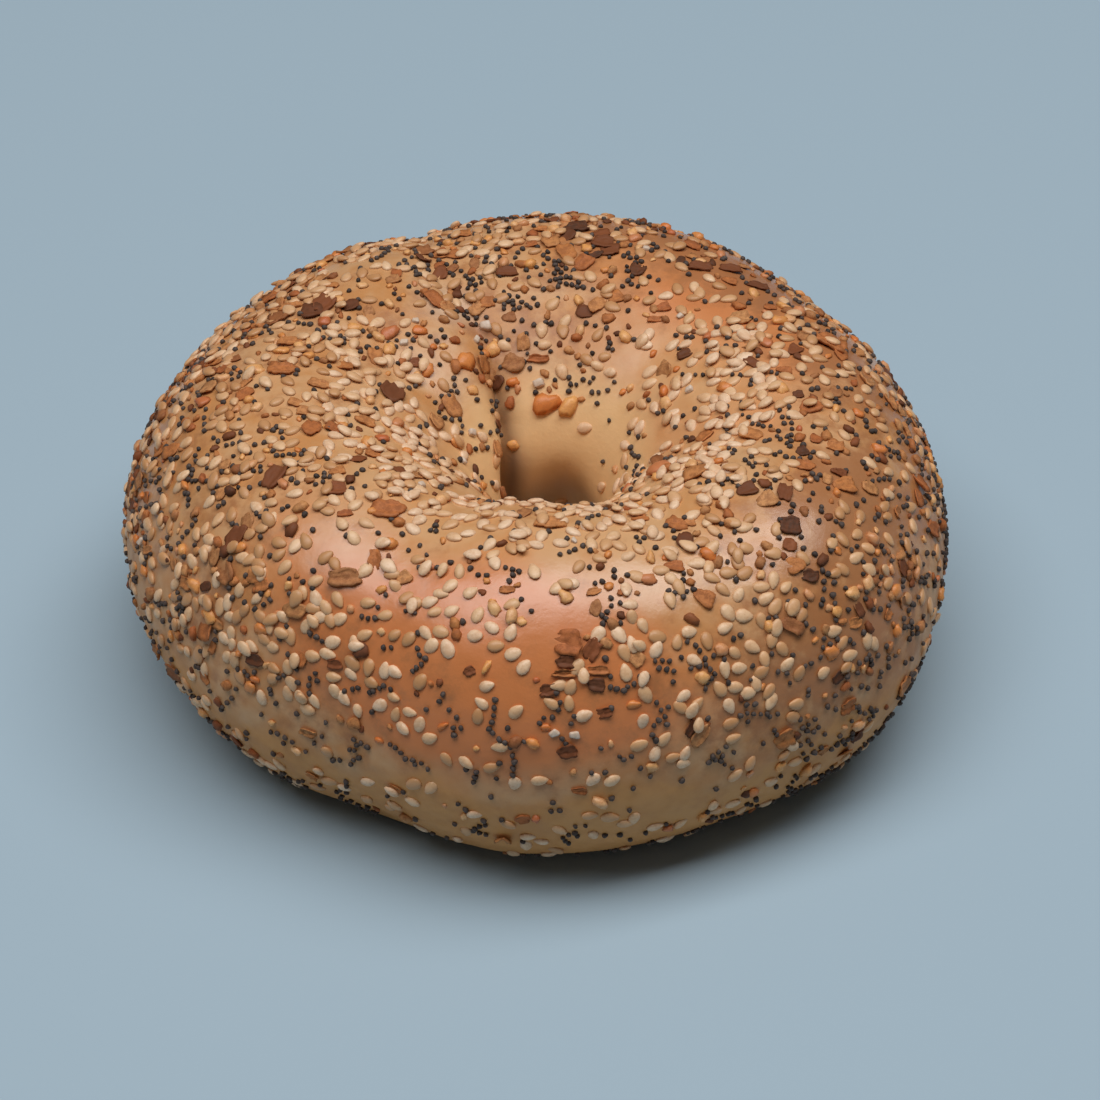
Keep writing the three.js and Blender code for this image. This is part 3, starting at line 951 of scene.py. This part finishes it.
# Poppy seeds lie in strings along these lines of the camera's pixels
POPPY_SEEN = (
    ((493, 700), (494, 716), (489, 728), (500, 738), (510, 747), (514, 761), (513, 773)),
    ((448, 709), (462, 719)), ((610, 686), (622, 690), (631, 684)), ((370, 693), (385, 686), (392, 690)),
    ((345, 690), (358, 688)), ((418, 650), (425, 659), (414, 672)), ((385, 648), (392, 647)),
    ((780, 410), (783, 425), (776, 437), (785, 446), (776, 456)), ((788, 413), (791, 430), (790, 447)),
    ((728, 407), (728, 415)), ((742, 404), (743, 417)), ((726, 427), (727, 437)), ((753, 424), (769, 428)),
    ((745, 462), (753, 468)), ((728, 480), (733, 482)), ((656, 702), (662, 716), (650, 729), (656, 741)),
    ((690, 668), (705, 665), (713, 673), (706, 688)), ((660, 668), (673, 671)),
    ((740, 715), (760, 712), (776, 716)), ((619, 756), (628, 762), (632, 755)), ((592, 771), (605, 772)),
    ((825, 655), (812, 661), (804, 665)), ((860, 663), (869, 655)), ((822, 582), (830, 595)),
    ((805, 624), (812, 630)), ((180, 543), (188, 532), (197, 522)), ((182, 476), (191, 467)),
    ((140, 480), (158, 484), (164, 494)), ((142, 510), (152, 505), (162, 513)), ((227, 447), (240, 443)),
    ((250, 453), (254, 446), (263, 444)), ((282, 455), (301, 456)), ((244, 603), (255, 607), (264, 605)),
    ((266, 328), (262, 335), (271, 335)), ((262, 386), (269, 391)), ((465, 276), (471, 285), (465, 296)),
    ((474, 280), (476, 291)), ((550, 281), (566, 284), (577, 285)), ((505, 304), (520, 302), (532, 309)),
    ((407, 612), (414, 612)), ((393, 294), (400, 300)), ((399, 265), (412, 270), (421, 275)),
    ((452, 379), (456, 393)), ((238, 668), (250, 674), (257, 671)), ((270, 688), (276, 702)),
    ((222, 710), (229, 703)), ((590, 685), (600, 690)), ((553, 803), (560, 808)), ((655, 661), (668, 660)),
    ((640, 676), (648, 678)), ((730, 333), (722, 352)), ((810, 458), (803, 445)), ((878, 445), (888, 449)),
)


# ---------------------------------------------------------------- laying the toppings
# Lengths are millimetres, with width and thickness as shares of the length unless said otherwise.
# A topping lies where it has room, and from then on takes its reach. It stands off the crust, and
# sways from lying flat by an angle in radians.
SESAME_LENGTH = (2.5, 0.16)      # mean and spread
SESAME_WIDTH = (0.68, 0.80)      # least and most
SESAME_THICKNESS = (0.75, 0.95)  # in mm
SESAME_PALENESS = 1.4            # above 1, pale seeds are commoner than brown ones
SESAME_STAND = 0.11
SESAME_SWAY = 0.12
SESAME_ROOM = 0.68
SESAME_REACH = 0.74
SEEN_SESAME_REACH = 0.80
PILED_STAND = 0.55               # the same for seeds that lie over others
PILED_SWAY = 0.2
PILED_ROOM = 1.1
PILED_OVERLAP = 0.5
PILED_REACH = 0.6
SEED_LIGHT_AND_SHADE = 0.55                  # how much painted shade browns a seed where the mix is dark, and painted light pales it where light
POPPY_SIZE = (0.88, 0.78, 0.73)  # length, width and thickness
POPPY_SPREAD = 0.09
POPPY_STAND = 0.20
POPPY_SWAY = 0.3
POPPY_ROOM = 0.33
POPPY_REACH = 0.37
POPPY_PIXELS = 6.5               # how far apart the seeds lie along the lines of pixels, and astray
POPPY_ASTRAY = 0.9
STRING_SEEDS = (2, 8)            # seeds in a random string: at least, and fewer than
STRING_BEND = 1.1
STRING_STEP = (0.9, 1.35)
SALT_SHARES = (0.9, 0.75, 0.6)   # length, width and thickness as shares of the length
SALT_LENGTH = (1.0, 1.8)
SALT_STAND = 0.16
SALT_SWAY = 0.2
SALT_ROOM = 0.6
SALT_REACH = 0.4
BIT_REACH = 0.36                 # of a flake or granule, as a share of its length
BIT_WIDTH = (0.6, 0.9)
BIT_SMALLNESS = 1.5              # above 1, small ones are commoner
BIT_SWAY = 0.16
SEEN_FLAKE_THICKNESS = (0.7, 0.95)
SEEN_GRANULE_THICKNESS = 0.42
SEEN_FLAKE = {"shapes": FLAKE_SHAPES, "stand": 0.10, "sway": 0.08}
SEEN_GRANULE = {"shapes": CRUMB_SHAPES, "stand": 0.09, "sway": 0.1}

# How many are laid at random, and how likely each is on the pale foot, against the top
SESAME_COUNT = 1230
SESAME_PILED = 600
SESAME_LOW_SHARE = 0.18
POPPY_STRINGS = 330
POPPY_SINGLES = 3300
POPPY_LOW_SHARE = 0.65
SALT_COUNT = 8
SALT_LOW_SHARE = 0.2
SMALL_FLAKES = {"count": 210, "length": (2.0, 4.0), "room": 1.0, "thickness": (0.6, 1.0), "stand": 0.10,
                "shapes": (FLAKE_SHAPES, 2 * FLAKE_SHAPES), "low_share": 0.2}
ONION_CRUMBS = {"count": 620, "length": (0.9, 2.3), "room": 0.5, "thickness": (0.4, 0.6), "stand": 0.12,
                "shapes": (2 * FLAKE_SHAPES, 2 * FLAKE_SHAPES + CRUMB_SHAPES), "low_share": 0.25}
GARLIC_BITS = {"count": 460, "length": (0.9, 2.6), "room": 0.5, "thickness": (0.38, 0.6), "stand": 0.12,
               "shapes": (0, CRUMB_SHAPES), "low_share": 0.3}
TRIES = 4                        # places tried for each topping wanted


def any_turn(chance):
    """A turn in any direction."""
    return chance.uniform(0, 2 * math.pi)


def lay_sesame(pile, spot, normal, turn, chance, stand=SESAME_STAND, sway=SESAME_SWAY):
    """One sesame seed."""
    length = chance.normal(*SESAME_LENGTH)
    width = length * chance.uniform(*SESAME_WIDTH)
    size = 0.5 * np.array((length, width, chance.uniform(*SESAME_THICKNESS)))
    place = spot + stand * normal
    # painted shade darkens the seed where the bagel is darker, painted light pales it where lighter
    light_and_shade = SEED_LIGHT_AND_SHADE * float(darkness_at(*hole_coordinates(spot[None]))[0])
    tone = min(max(chance.random() ** SESAME_PALENESS + light_and_shade, 0.0), 1.0)
    kind = int(chance.integers(len(SESAME_SLIMNESS)))
    pile.add(kind, place, normal, turn, chance.normal(0, sway), size, tone)


def lay_poppy(room, pile, spot, normal, chance):
    """One poppy seed, unless something lies there."""
    if not room.clear(spot, POPPY_ROOM):
        return
    size = 0.5 * np.array(POPPY_SIZE) * chance.normal(1.0, POPPY_SPREAD)
    room.take(spot, POPPY_REACH)
    turn = any_turn(chance)
    kind = int(chance.integers(len(POPPY_DENTS)))
    sway = chance.normal(0, POPPY_SWAY)
    pile.add(kind, spot + POPPY_STAND * normal, normal, turn, sway, size, chance.random())


def lay_salt(room, pile, spot, normal, turn, length, chance):
    """One crystal of salt."""
    size = 0.5 * length * np.array(SALT_SHARES)
    room.take(spot, SALT_REACH * length)
    kind = int(chance.integers(CRYSTAL_SHAPES))
    sway = chance.normal(0, SALT_SWAY)
    pile.add(kind, spot + SALT_STAND * length * normal, normal, turn, sway, size, chance.random())


def lay_seen_bit(surface, room, pile, row, thickness, style, chance):
    """One flake or granule from the ones placed one by one."""
    across, down, turn, length, width, tone = row
    spot, normal = surface.under_pixel(across, down)
    size = 0.5 * length * np.array((1.0, width, thickness))
    room.take(spot, BIT_REACH * length * math.sqrt(width))
    kind = int(chance.integers(style["shapes"]))
    place = spot + style["stand"] * length * normal
    sway = chance.normal(0, style["sway"])
    pile.add(kind, place, normal, turn_seen(Vector(normal), turn), sway, size, tone)


def lay_poppy_line(surface, room, pile, start, end, chance):
    """Poppy seeds along a line of pixels, each a little astray."""
    count = max(1, round(math.dist(start, end) / POPPY_PIXELS))
    for step in range(count + 1):
        share = step / count
        x = start[0] + share * (end[0] - start[0]) + chance.normal(0, POPPY_ASTRAY)
        y = start[1] + share * (end[1] - start[1]) + chance.normal(0, POPPY_ASTRAY)
        lay_poppy(room, pile, *surface.under_pixel(x, y), chance)


def lay_seen(surface, room, piles, chance):
    """The toppings that are placed one by one."""
    for row in ONION_SEEN:
        thickness = chance.uniform(*SEEN_FLAKE_THICKNESS)
        lay_seen_bit(surface, room, piles["onion"], row, thickness, SEEN_FLAKE, chance)
    for row in GARLIC_SEEN:
        lay_seen_bit(surface, room, piles["garlic"], row, SEEN_GRANULE_THICKNESS, SEEN_GRANULE, chance)
    for across, down, turn, length in SALT_SEEN:
        spot, normal = surface.under_pixel(across, down)
        lay_salt(room, piles["salt"], spot, normal, turn_seen(Vector(normal), turn), length, chance)
    for across, down, turn in SESAME_SEEN:
        spot, normal = surface.under_pixel(across, down)
        room.take(spot, SEEN_SESAME_REACH)
        lay_sesame(piles["sesame"], spot, normal, turn_seen(Vector(normal), turn), chance)
    for line in POPPY_SEEN:
        for start, end in zip(line, line[1:]):
            lay_poppy_line(surface, room, piles["poppy"], start, end, chance)


def random_places(surface, room, likely, count, reach, chance):
    """Up to count free places by likelihood, in random order."""
    laid = 0
    for spot, normal in zip(*surface.spots(TRIES * count, likely, chance)):
        if laid == count:
            return
        if room.clear(spot, reach):
            laid += 1
            yield spot, normal


def add_bits(surface, room, pile, bits, chance):
    """Flakes or granules laid at random. bits holds how many, how big and what shape they are."""
    likely = surface.likelihood(bits["low_share"], dark=True)
    shortest, longest = bits["length"]
    for spot, normal in random_places(surface, room, likely, bits["count"], bits["room"], chance):
        length = shortest + (longest - shortest) * chance.random() ** BIT_SMALLNESS
        thickness = chance.uniform(*bits["thickness"])
        size = 0.5 * length * np.array((1.0, chance.uniform(*BIT_WIDTH), thickness))
        room.take(spot, BIT_REACH * length)
        kind = int(chance.integers(*bits["shapes"]))
        place = spot + bits["stand"] * length * normal
        turn = any_turn(chance)
        sway = chance.normal(0, BIT_SWAY)
        pile.add(kind, place, normal, turn, sway, size, chance.random())


def add_salt(surface, room, pile, chance):
    """A few crystals laid at random."""
    likely = surface.likelihood(SALT_LOW_SHARE, dark=False)
    for spot, normal in random_places(surface, room, likely, SALT_COUNT, SALT_ROOM, chance):
        turn = any_turn(chance)
        lay_salt(room, pile, spot, normal, turn, chance.uniform(*SALT_LENGTH), chance)


def add_sesame(surface, room, pile, chance):
    """Sesame seeds keeping mostly clear of each other, and some that lie over the rest."""
    likely = surface.likelihood(SESAME_LOW_SHARE, dark=False)
    for spot, normal in random_places(surface, room, likely, SESAME_COUNT, SESAME_ROOM, chance):
        room.take(spot, SESAME_REACH)
        lay_sesame(pile, spot, normal, any_turn(chance), chance)
    upper = Room()
    for spot, normal in zip(*surface.spots(SESAME_PILED, likely ** 2, chance)):
        if upper.clear(spot, PILED_ROOM) and not room.clear(spot, PILED_OVERLAP):
            upper.take(spot, PILED_ROOM)
            room.take(spot, PILED_REACH)
            lay_sesame(pile, spot, normal, any_turn(chance), chance, PILED_STAND, PILED_SWAY)


def add_poppy(surface, room, pile, chance):
    """Poppy seeds: wandering strings of them, then single ones."""
    likely = surface.likelihood(POPPY_LOW_SHARE, dark=True)
    for spot, normal in zip(*surface.spots(POPPY_STRINGS, likely, chance)):
        heading = any_turn(chance)
        for _ in range(int(chance.integers(*STRING_SEEDS))):
            lay_poppy(room, pile, spot, normal, chance)
            heading += chance.normal(0, STRING_BEND)
            step = np.array(turning(Vector(normal), heading, 0.0))[:, 0]
            spot, normal = surface.nearest(spot + chance.uniform(*STRING_STEP) * step)
    for spot, normal in zip(*surface.spots(POPPY_SINGLES, likely, chance)):
        lay_poppy(room, pile, spot, normal, chance)


def make_toppings(crust, materials):
    """Lays every kind of topping on the crust and joins each kind into one piece."""
    chance = np.random.default_rng(SEED)
    surface = Crust(crust.data)
    room = Room()
    piles = {kind: Pile() for kind in ("onion", "sesame", "garlic", "poppy", "salt")}
    lay_seen(surface, room, piles, chance)
    add_bits(surface, room, piles["onion"], SMALL_FLAKES, chance)
    add_bits(surface, room, piles["onion"], ONION_CRUMBS, chance)
    add_bits(surface, room, piles["garlic"], GARLIC_BITS, chance)
    add_salt(surface, room, piles["salt"], chance)
    add_sesame(surface, room, piles["sesame"], chance)
    add_poppy(surface, room, piles["poppy"], chance)
    shapes = topping_shapes()
    for kind, pile in piles.items():
        joined_piece(kind, shapes[kind], pile, materials[kind])


# ---------------------------------------------------------------- materials
def fill(tree, socket, value):
    """Links a socket, or sets its value."""
    if isinstance(value, bpy.types.NodeSocket):
        tree.links.new(value, socket)
    elif isinstance(value, tuple) and len(value) == 3 and socket.type == "RGBA":
        socket.default_value = (*value, 1.0)
    else:
        socket.default_value = value


def node(tree, kind, inputs=None, **settings):
    """A node with its settings, and its inputs filled by name."""
    made = tree.nodes.new(kind)
    for name, value in settings.items():
        setattr(made, name, value)
    for name, value in (inputs or {}).items():
        fill(tree, made.inputs[name], value)
    return made


MIX_SOCKETS = (0, 6, 7)          # a mix node's sockets for colours: the share, one and the other
MIX_RESULT = 2


def mixed(tree, share, one, two):
    """Two colours mixed by a share."""
    made = node(tree, "ShaderNodeMix", data_type="RGBA")
    for index, value in zip(MIX_SOCKETS, (share, one, two)):
        fill(tree, made.inputs[index], value)
    return made.outputs[MIX_RESULT]


def sums(tree, operation, one, two, clamp=False):
    """One step of arithmetic."""
    made = node(tree, "ShaderNodeMath", operation=operation, use_clamp=clamp)
    fill(tree, made.inputs[0], one)
    fill(tree, made.inputs[1], two)
    return made.outputs[0]


def spread(tree, value, low, high, to_low=0.0, to_high=1.0):
    """A value's range from low to high, smoothly stretched to another range."""
    made = node(
        tree, "ShaderNodeMapRange", {"Value": value, "From Min": low, "From Max": high,
                                     "To Min": to_low, "To Max": to_high},
        interpolation_type="SMOOTHSTEP",
    )
    return made.outputs["Result"]


def noisy(tree, place, scale, detail, roughness):
    """Noise of a scale, as a grey value."""
    made = node(
        tree, "ShaderNodeTexNoise",
        {"Vector": place, "Scale": scale, "Detail": detail, "Roughness": roughness},
    )
    return made.outputs["Fac"]


def cloud(tree, place, size, detail=3.0, roughness=0.55):
    """Noise with features of a size in millimetres."""
    return noisy(tree, place, 1.0 / size, detail, roughness)


def painted(tree, name):
    """What is painted on the mesh under a name."""
    return node(tree, "ShaderNodeAttribute", attribute_name=name).outputs["Fac"]


def wandering(tree, value, place, size, reach):
    """A value made uneven by a cloud of a size."""
    return sums(tree, "ADD", value, sums(tree, "MULTIPLY", cloud(tree, place, size), reach))


def new_group(name, inputs, outputs):
    """An empty shader node group with named sockets, and its two ends."""
    group = bpy.data.node_groups.new(name, "ShaderNodeTree")
    for socket, kind in inputs:
        group.interface.new_socket(socket, in_out="INPUT", socket_type=kind)
    for socket, kind in outputs:
        group.interface.new_socket(socket, in_out="OUTPUT", socket_type=kind)
    return group, group.nodes.new("NodeGroupInput"), group.nodes.new("NodeGroupOutput")


def millimetre_group():
    """Object coordinates in millimetres."""
    group, _, end = new_group("millimetres", (), (("Place", "NodeSocketVector"),))
    place = node(group, "ShaderNodeTexCoord").outputs["Object"]
    scaled = node(group, "ShaderNodeVectorMath", operation="SCALE")
    fill(group, scaled.inputs[0], place)
    fill(group, scaled.inputs["Scale"], 1.0 / MM)
    fill(group, end.inputs["Place"], scaled.outputs[0])
    return group


BLOTCHES = (3.0, 0.6)            # detail and roughness of a mottle's blotches, and their share
BLOTCH_SHARE = 0.7
GRAIN = (2.0, 0.5)               # the same for its grain, which is so much finer
GRAIN_SHARE = 0.3
GRAIN_FINENESS = 5.0
MOTTLED_BETWEEN = (0.40, 0.62)   # noise between which a mottle turns dark


def mottle_group():
    """A colour made uneven: darker and warmer in soft blotches, with a fine grain."""
    group, start, end = new_group(
        "mottle",
        (("Color", "NodeSocketColor"), ("Dark", "NodeSocketColor"), ("Place", "NodeSocketVector"),
         ("Blotch Size", "NodeSocketFloat"), ("Amount", "NodeSocketFloat")),
        (("Color", "NodeSocketColor"), ("Height", "NodeSocketFloat")),
    )
    scale = sums(group, "DIVIDE", 1.0, start.outputs["Blotch Size"])
    finer = sums(group, "MULTIPLY", scale, GRAIN_FINENESS)
    blotch = noisy(group, start.outputs["Place"], scale, *BLOTCHES)
    grain = noisy(group, start.outputs["Place"], finer, *GRAIN)
    both = sums(group, "ADD", sums(group, "MULTIPLY", blotch, BLOTCH_SHARE),
                sums(group, "MULTIPLY", grain, GRAIN_SHARE))
    mask = spread(group, both, *MOTTLED_BETWEEN)
    share = sums(group, "MULTIPLY", mask, start.outputs["Amount"], clamp=True)
    colour = mixed(group, share, start.outputs["Color"], start.outputs["Dark"])
    fill(group, end.inputs["Color"], colour)
    fill(group, end.inputs["Height"], both)
    return group


def grouped(tree, group, inputs=None):
    """A group placed in a material."""
    made = node(tree, "ShaderNodeGroup", node_tree=group)
    for name, value in (inputs or {}).items():
        fill(tree, made.inputs[name], value)
    return made


def new_material(name):
    """A material with an empty Principled shader, its tree and the shader."""
    material = bpy.data.materials.new(name)
    material.use_nodes = True
    return material, material.node_tree, material.node_tree.nodes["Principled BSDF"]


def bumped(tree, height, distance, strength=1.0):
    """A normal from a height, which is 0 to 1 over a distance in millimetres."""
    made = node(tree, "ShaderNodeBump", {"Height": height, "Distance": distance * MM,
                                         "Strength": strength})
    return made.outputs["Normal"]


# Colours of the crust, linear
PALE_FOOT = (0.68, 0.31, 0.090)
FOOT_SHADOWED = (0.57, 0.235, 0.062)
GOLDEN = (0.60, 0.27, 0.092)
TAN = (0.66, 0.365, 0.17)
ORANGE = (0.65, 0.215, 0.066)
DEEP_BROWN = (0.40, 0.155, 0.055)
# pale dough of the hole's wall and the bowl, partly painted light
PALE_DOUGH = (0.88, 0.56, 0.27)
FLOURY = (0.76, 0.62, 0.46)
# painted shade: the crease's colour, then that of the hole's shaded side and bottom
CREASE_SHADE_COLOUR = (0.28, 0.15, 0.075)
HOLE_DARK = (0.27, 0.22, 0.19)
LAID_OVER = (("pale", PALE_DOUGH), ("flour", FLOURY), ("crease", CREASE_SHADE_COLOUR), ("shade", HOLE_DARK))

# How its colours lie, with clouds and blotches sized in mm
FOOT_MOTTLE = {"Color": PALE_FOOT, "Dark": FOOT_SHADOWED, "Blotch Size": 9.0, "Amount": 0.7}
TOP_MOTTLE = {"Color": TAN, "Dark": GOLDEN, "Blotch Size": 11.0, "Amount": 1.0}
TOP_EDGE = (2.2, 0.5)            # cloud that the top's edge wanders by: size and reach
TOP_BETWEEN = (0.45, 1.0)        # and what the sum lies between as the foot turns into the top
GLOW_EDGE = (13.0, 0.6)          # the same for the orange patches
GLOW_BETWEEN = (0.35, 1.15)
DEEP_CLOUD = (5.0, 5.0, 0.65)    # the brown patches' cloud: size, detail and roughness
DEEP_WEIGHT = 0.33               # how much what is painted counts against that cloud
DEEP_BETWEEN = (0.52, 0.82)
DEEPEST = 0.85

# How rough its surface is
CLOUD_BETWEEN = (0.3, 0.7)       # what most of a cloud lies between
MATT_ROUGHNESS = 0.55
GLOSSY_ROUGHNESS = 0.33
GLOSS_CLOUD = 4.0
GLOSS_REACH = 0.05
COAT_WEIGHT = 0.6
COAT_ROUGHNESS = 0.33
WRINKLES = (1.3, 4.0)            # cloud's size and detail
PORES = (0.45, 2.0)
PORE_SHARE = 0.35
SKIN_DEPTH = 0.13                # in mm, and how strongly it shows
SKIN_STRENGTH = 0.5


def crust_colour(tree, mottle, place):
    """Pale foot and golden top, orange and deep brown patches partly deepened by painted shade, floury
    places, pale places partly painted light, and painted shade.
    """
    browned = painted(tree, "browned")
    foot = grouped(tree, mottle, {**FOOT_MOTTLE, "Place": place}).outputs["Color"]
    top = grouped(tree, mottle, {**TOP_MOTTLE, "Place": place}).outputs["Color"]
    edge = wandering(tree, browned, place, *TOP_EDGE)
    colour = mixed(tree, spread(tree, edge, *TOP_BETWEEN), foot, top)
    patches = wandering(tree, painted(tree, "glow"), place, *GLOW_EDGE)
    glowing = sums(tree, "MULTIPLY", spread(tree, patches, *GLOW_BETWEEN), browned, clamp=True)
    colour = mixed(tree, glowing, colour, ORANGE)
    blotches = sums(tree, "ADD", sums(tree, "MULTIPLY", painted(tree, "deep"), DEEP_WEIGHT),
                    cloud(tree, place, *DEEP_CLOUD))
    burnt = spread(tree, blotches, *DEEP_BETWEEN, to_high=DEEPEST)
    colour = mixed(tree, sums(tree, "MULTIPLY", burnt, browned), colour, DEEP_BROWN)
    for name, over in LAID_OVER:
        colour = mixed(tree, painted(tree, name), colour, over)
    return colour


def crust_material(groups):
    """Boiled and baked dough: softly glossy on top, matt below, with a finely wrinkled skin."""
    material, tree, shader = new_material("baked_crust")
    place = grouped(tree, groups["millimetres"]).outputs["Place"]
    fill(tree, shader.inputs["Base Color"], crust_colour(tree, groups["mottle"], place))
    uneven = spread(tree, cloud(tree, place, GLOSS_CLOUD), *CLOUD_BETWEEN, -GLOSS_REACH, GLOSS_REACH)
    glossy = painted(tree, "glossy")
    rough = spread(tree, glossy, 0, 1, MATT_ROUGHNESS, GLOSSY_ROUGHNESS)
    fill(tree, shader.inputs["Roughness"], sums(tree, "ADD", uneven, rough))
    fill(tree, shader.inputs["Coat Weight"], sums(tree, "MULTIPLY", glossy, COAT_WEIGHT))
    fill(tree, shader.inputs["Coat Roughness"], COAT_ROUGHNESS)
    pores = sums(tree, "MULTIPLY", cloud(tree, place, *PORES), PORE_SHARE)
    skin = sums(tree, "ADD", cloud(tree, place, *WRINKLES), pores)
    fill(tree, shader.inputs["Normal"], bumped(tree, skin, SKIN_DEPTH, SKIN_STRENGTH))
    return material


# Finish of each topping. The colours are linear, by tone from 0 to 1, and the last is the colour
# of its mottling, whose blotches are sized in mm and stand out by the relief, also in mm.
TOPPING_FINISHES = {
    "sesame": {
        "name": "sesame_seed", "roughness": 0.42, "shine": 0.5, "blotch": 1.6, "grain": 0.5, "relief": 0.06,
        "colours": ((0.87, 0.605, 0.40), (0.82, 0.53, 0.305), (0.70, 0.395, 0.19), (0.55, 0.27, 0.11),
                    (0.60, 0.30, 0.13)),
    },
    "poppy": {
        "name": "poppy_seed", "roughness": 0.65, "shine": 0.35, "blotch": 0.35, "grain": 0.6, "relief": 0.06,
        "colours": ((0.080, 0.054, 0.044), (0.125, 0.090, 0.074), (0.050, 0.034, 0.028),
                    (0.032, 0.022, 0.018)),
    },
    "onion": {
        "name": "toasted_onion", "roughness": 0.65, "shine": 0.3, "blotch": 0.9, "grain": 0.5, "relief": 0.1,
        "colours": ((0.44, 0.125, 0.036), (0.56, 0.21, 0.062), (0.62, 0.29, 0.11), (0.27, 0.080, 0.025),
                    (0.085, 0.033, 0.015), (0.19, 0.055, 0.018)),
    },
    "garlic": {
        "name": "dried_garlic", "roughness": 0.42, "shine": 0.5, "blotch": 0.8, "grain": 0.4, "relief": 0.08,
        "colours": ((0.70, 0.20, 0.042), (0.84, 0.40, 0.12), (0.84, 0.48, 0.22), (0.54, 0.13, 0.04),
                    (0.48, 0.15, 0.04)),
    },
    "salt": {
        "name": "coarse_salt", "roughness": 0.45, "shine": 0.5, "blotch": 0.7, "grain": 0.6, "relief": 0.05,
        "colours": ((0.66, 0.50, 0.38), (0.74, 0.60, 0.49), (0.60, 0.42, 0.28)),
    },
}
ROUGHNESS_DOWN = 0.06            # how far the mottling takes a topping's roughness down and up
ROUGHNESS_UP = 0.08


def tone_colours(tree, colours):
    """A colour by tone, with the colours evenly spaced."""
    ramp = node(tree, "ShaderNodeValToRGB", {"Fac": painted(tree, "tone")})
    stops = ramp.color_ramp.elements
    for index, colour in enumerate(colours):
        share = index / (len(colours) - 1)
        stop = stops[index] if index < 2 else stops.new(share)
        stop.position = share
        stop.color = (*colour, 1.0)
    return ramp.outputs["Color"]


def topping_material(groups, name, colours, roughness, shine, blotch, grain, relief):
    """A topping: each piece between the first colours by its tone, mottled towards the last."""
    material, tree, shader = new_material(name)
    place = grouped(tree, groups["millimetres"]).outputs["Place"]
    mottle = grouped(tree, groups["mottle"], {
        "Color": tone_colours(tree, colours[:-1]), "Dark": colours[-1], "Place": place,
        "Blotch Size": blotch, "Amount": grain,
    })
    height = mottle.outputs["Height"]
    gloss = spread(tree, height, *CLOUD_BETWEEN, roughness - ROUGHNESS_DOWN, roughness + ROUGHNESS_UP)
    fill(tree, shader.inputs["Base Color"], mottle.outputs["Color"])
    fill(tree, shader.inputs["Roughness"], gloss)
    fill(tree, shader.inputs["Specular IOR Level"], shine)
    fill(tree, shader.inputs["Normal"], bumped(tree, height, relief))
    return material


def make_materials():
    """The finish of every piece, by its slot."""
    groups = {"millimetres": millimetre_group(), "mottle": mottle_group()}
    toppings = {slot: topping_material(groups, **finish) for slot, finish in TOPPING_FINISHES.items()}
    return {"crust": crust_material(groups), **toppings}


# ---------------------------------------------------------------- stage
FLOOR_COLOUR = (0.36, 0.47, 0.55)
FLOOR_ROUGHNESS = 0.75
FLOOR_SIZE = 8.0                 # in metres, as the lamp's place and size
SKY_COLOUR = (0.90, 0.95, 1.0)
SKY_STRENGTH = 0.065
LAMP_PLACE = (0.03, -0.095, 1.5)
LAMP_SIZE = (2.2, 0.82)
LAMP_TURN = 20.0                 # degrees, its left end towards the front
LAMP_POWER = 26.5


def make_floor():
    """A plain pale floor."""
    shape = bmesh.new()
    bmesh.ops.create_grid(shape, x_segments=1, y_segments=1, size=FLOOR_SIZE / 2)
    mesh = bpy.data.meshes.new("floor")
    shape.to_mesh(mesh)
    shape.free()
    material, tree, shader = new_material("pale_floor")
    fill(tree, shader.inputs["Base Color"], FLOOR_COLOUR)
    fill(tree, shader.inputs["Roughness"], FLOOR_ROUGHNESS)
    mesh.materials.append(material)
    floor = new_object("floor", mesh)


def make_light():
    """A long soft lamp high over the bagel, and a faint even sky."""
    data = bpy.data.lights.new("lamp", "AREA")
    data.shape = "RECTANGLE"
    data.size, data.size_y = LAMP_SIZE
    data.energy = LAMP_POWER
    lamp = new_object("lamp", data)
    turn = Matrix.Rotation(math.radians(LAMP_TURN), 4, "Z")
    lamp.matrix_world = Matrix.Translation(LAMP_PLACE) @ turn
    world = bpy.data.worlds.new("sky")
    world.use_nodes = True
    background = world.node_tree.nodes["Background"]
    background.inputs["Color"].default_value = (*SKY_COLOUR, 1.0)
    background.inputs["Strength"].default_value = SKY_STRENGTH
    bpy.context.scene.world = world
    bpy.context.scene.view_settings.view_transform = "Standard"


make_camera()
finishes = make_materials()
bagel = make_crust(finishes["crust"])
make_toppings(bagel, finishes)
make_floor()
make_light()
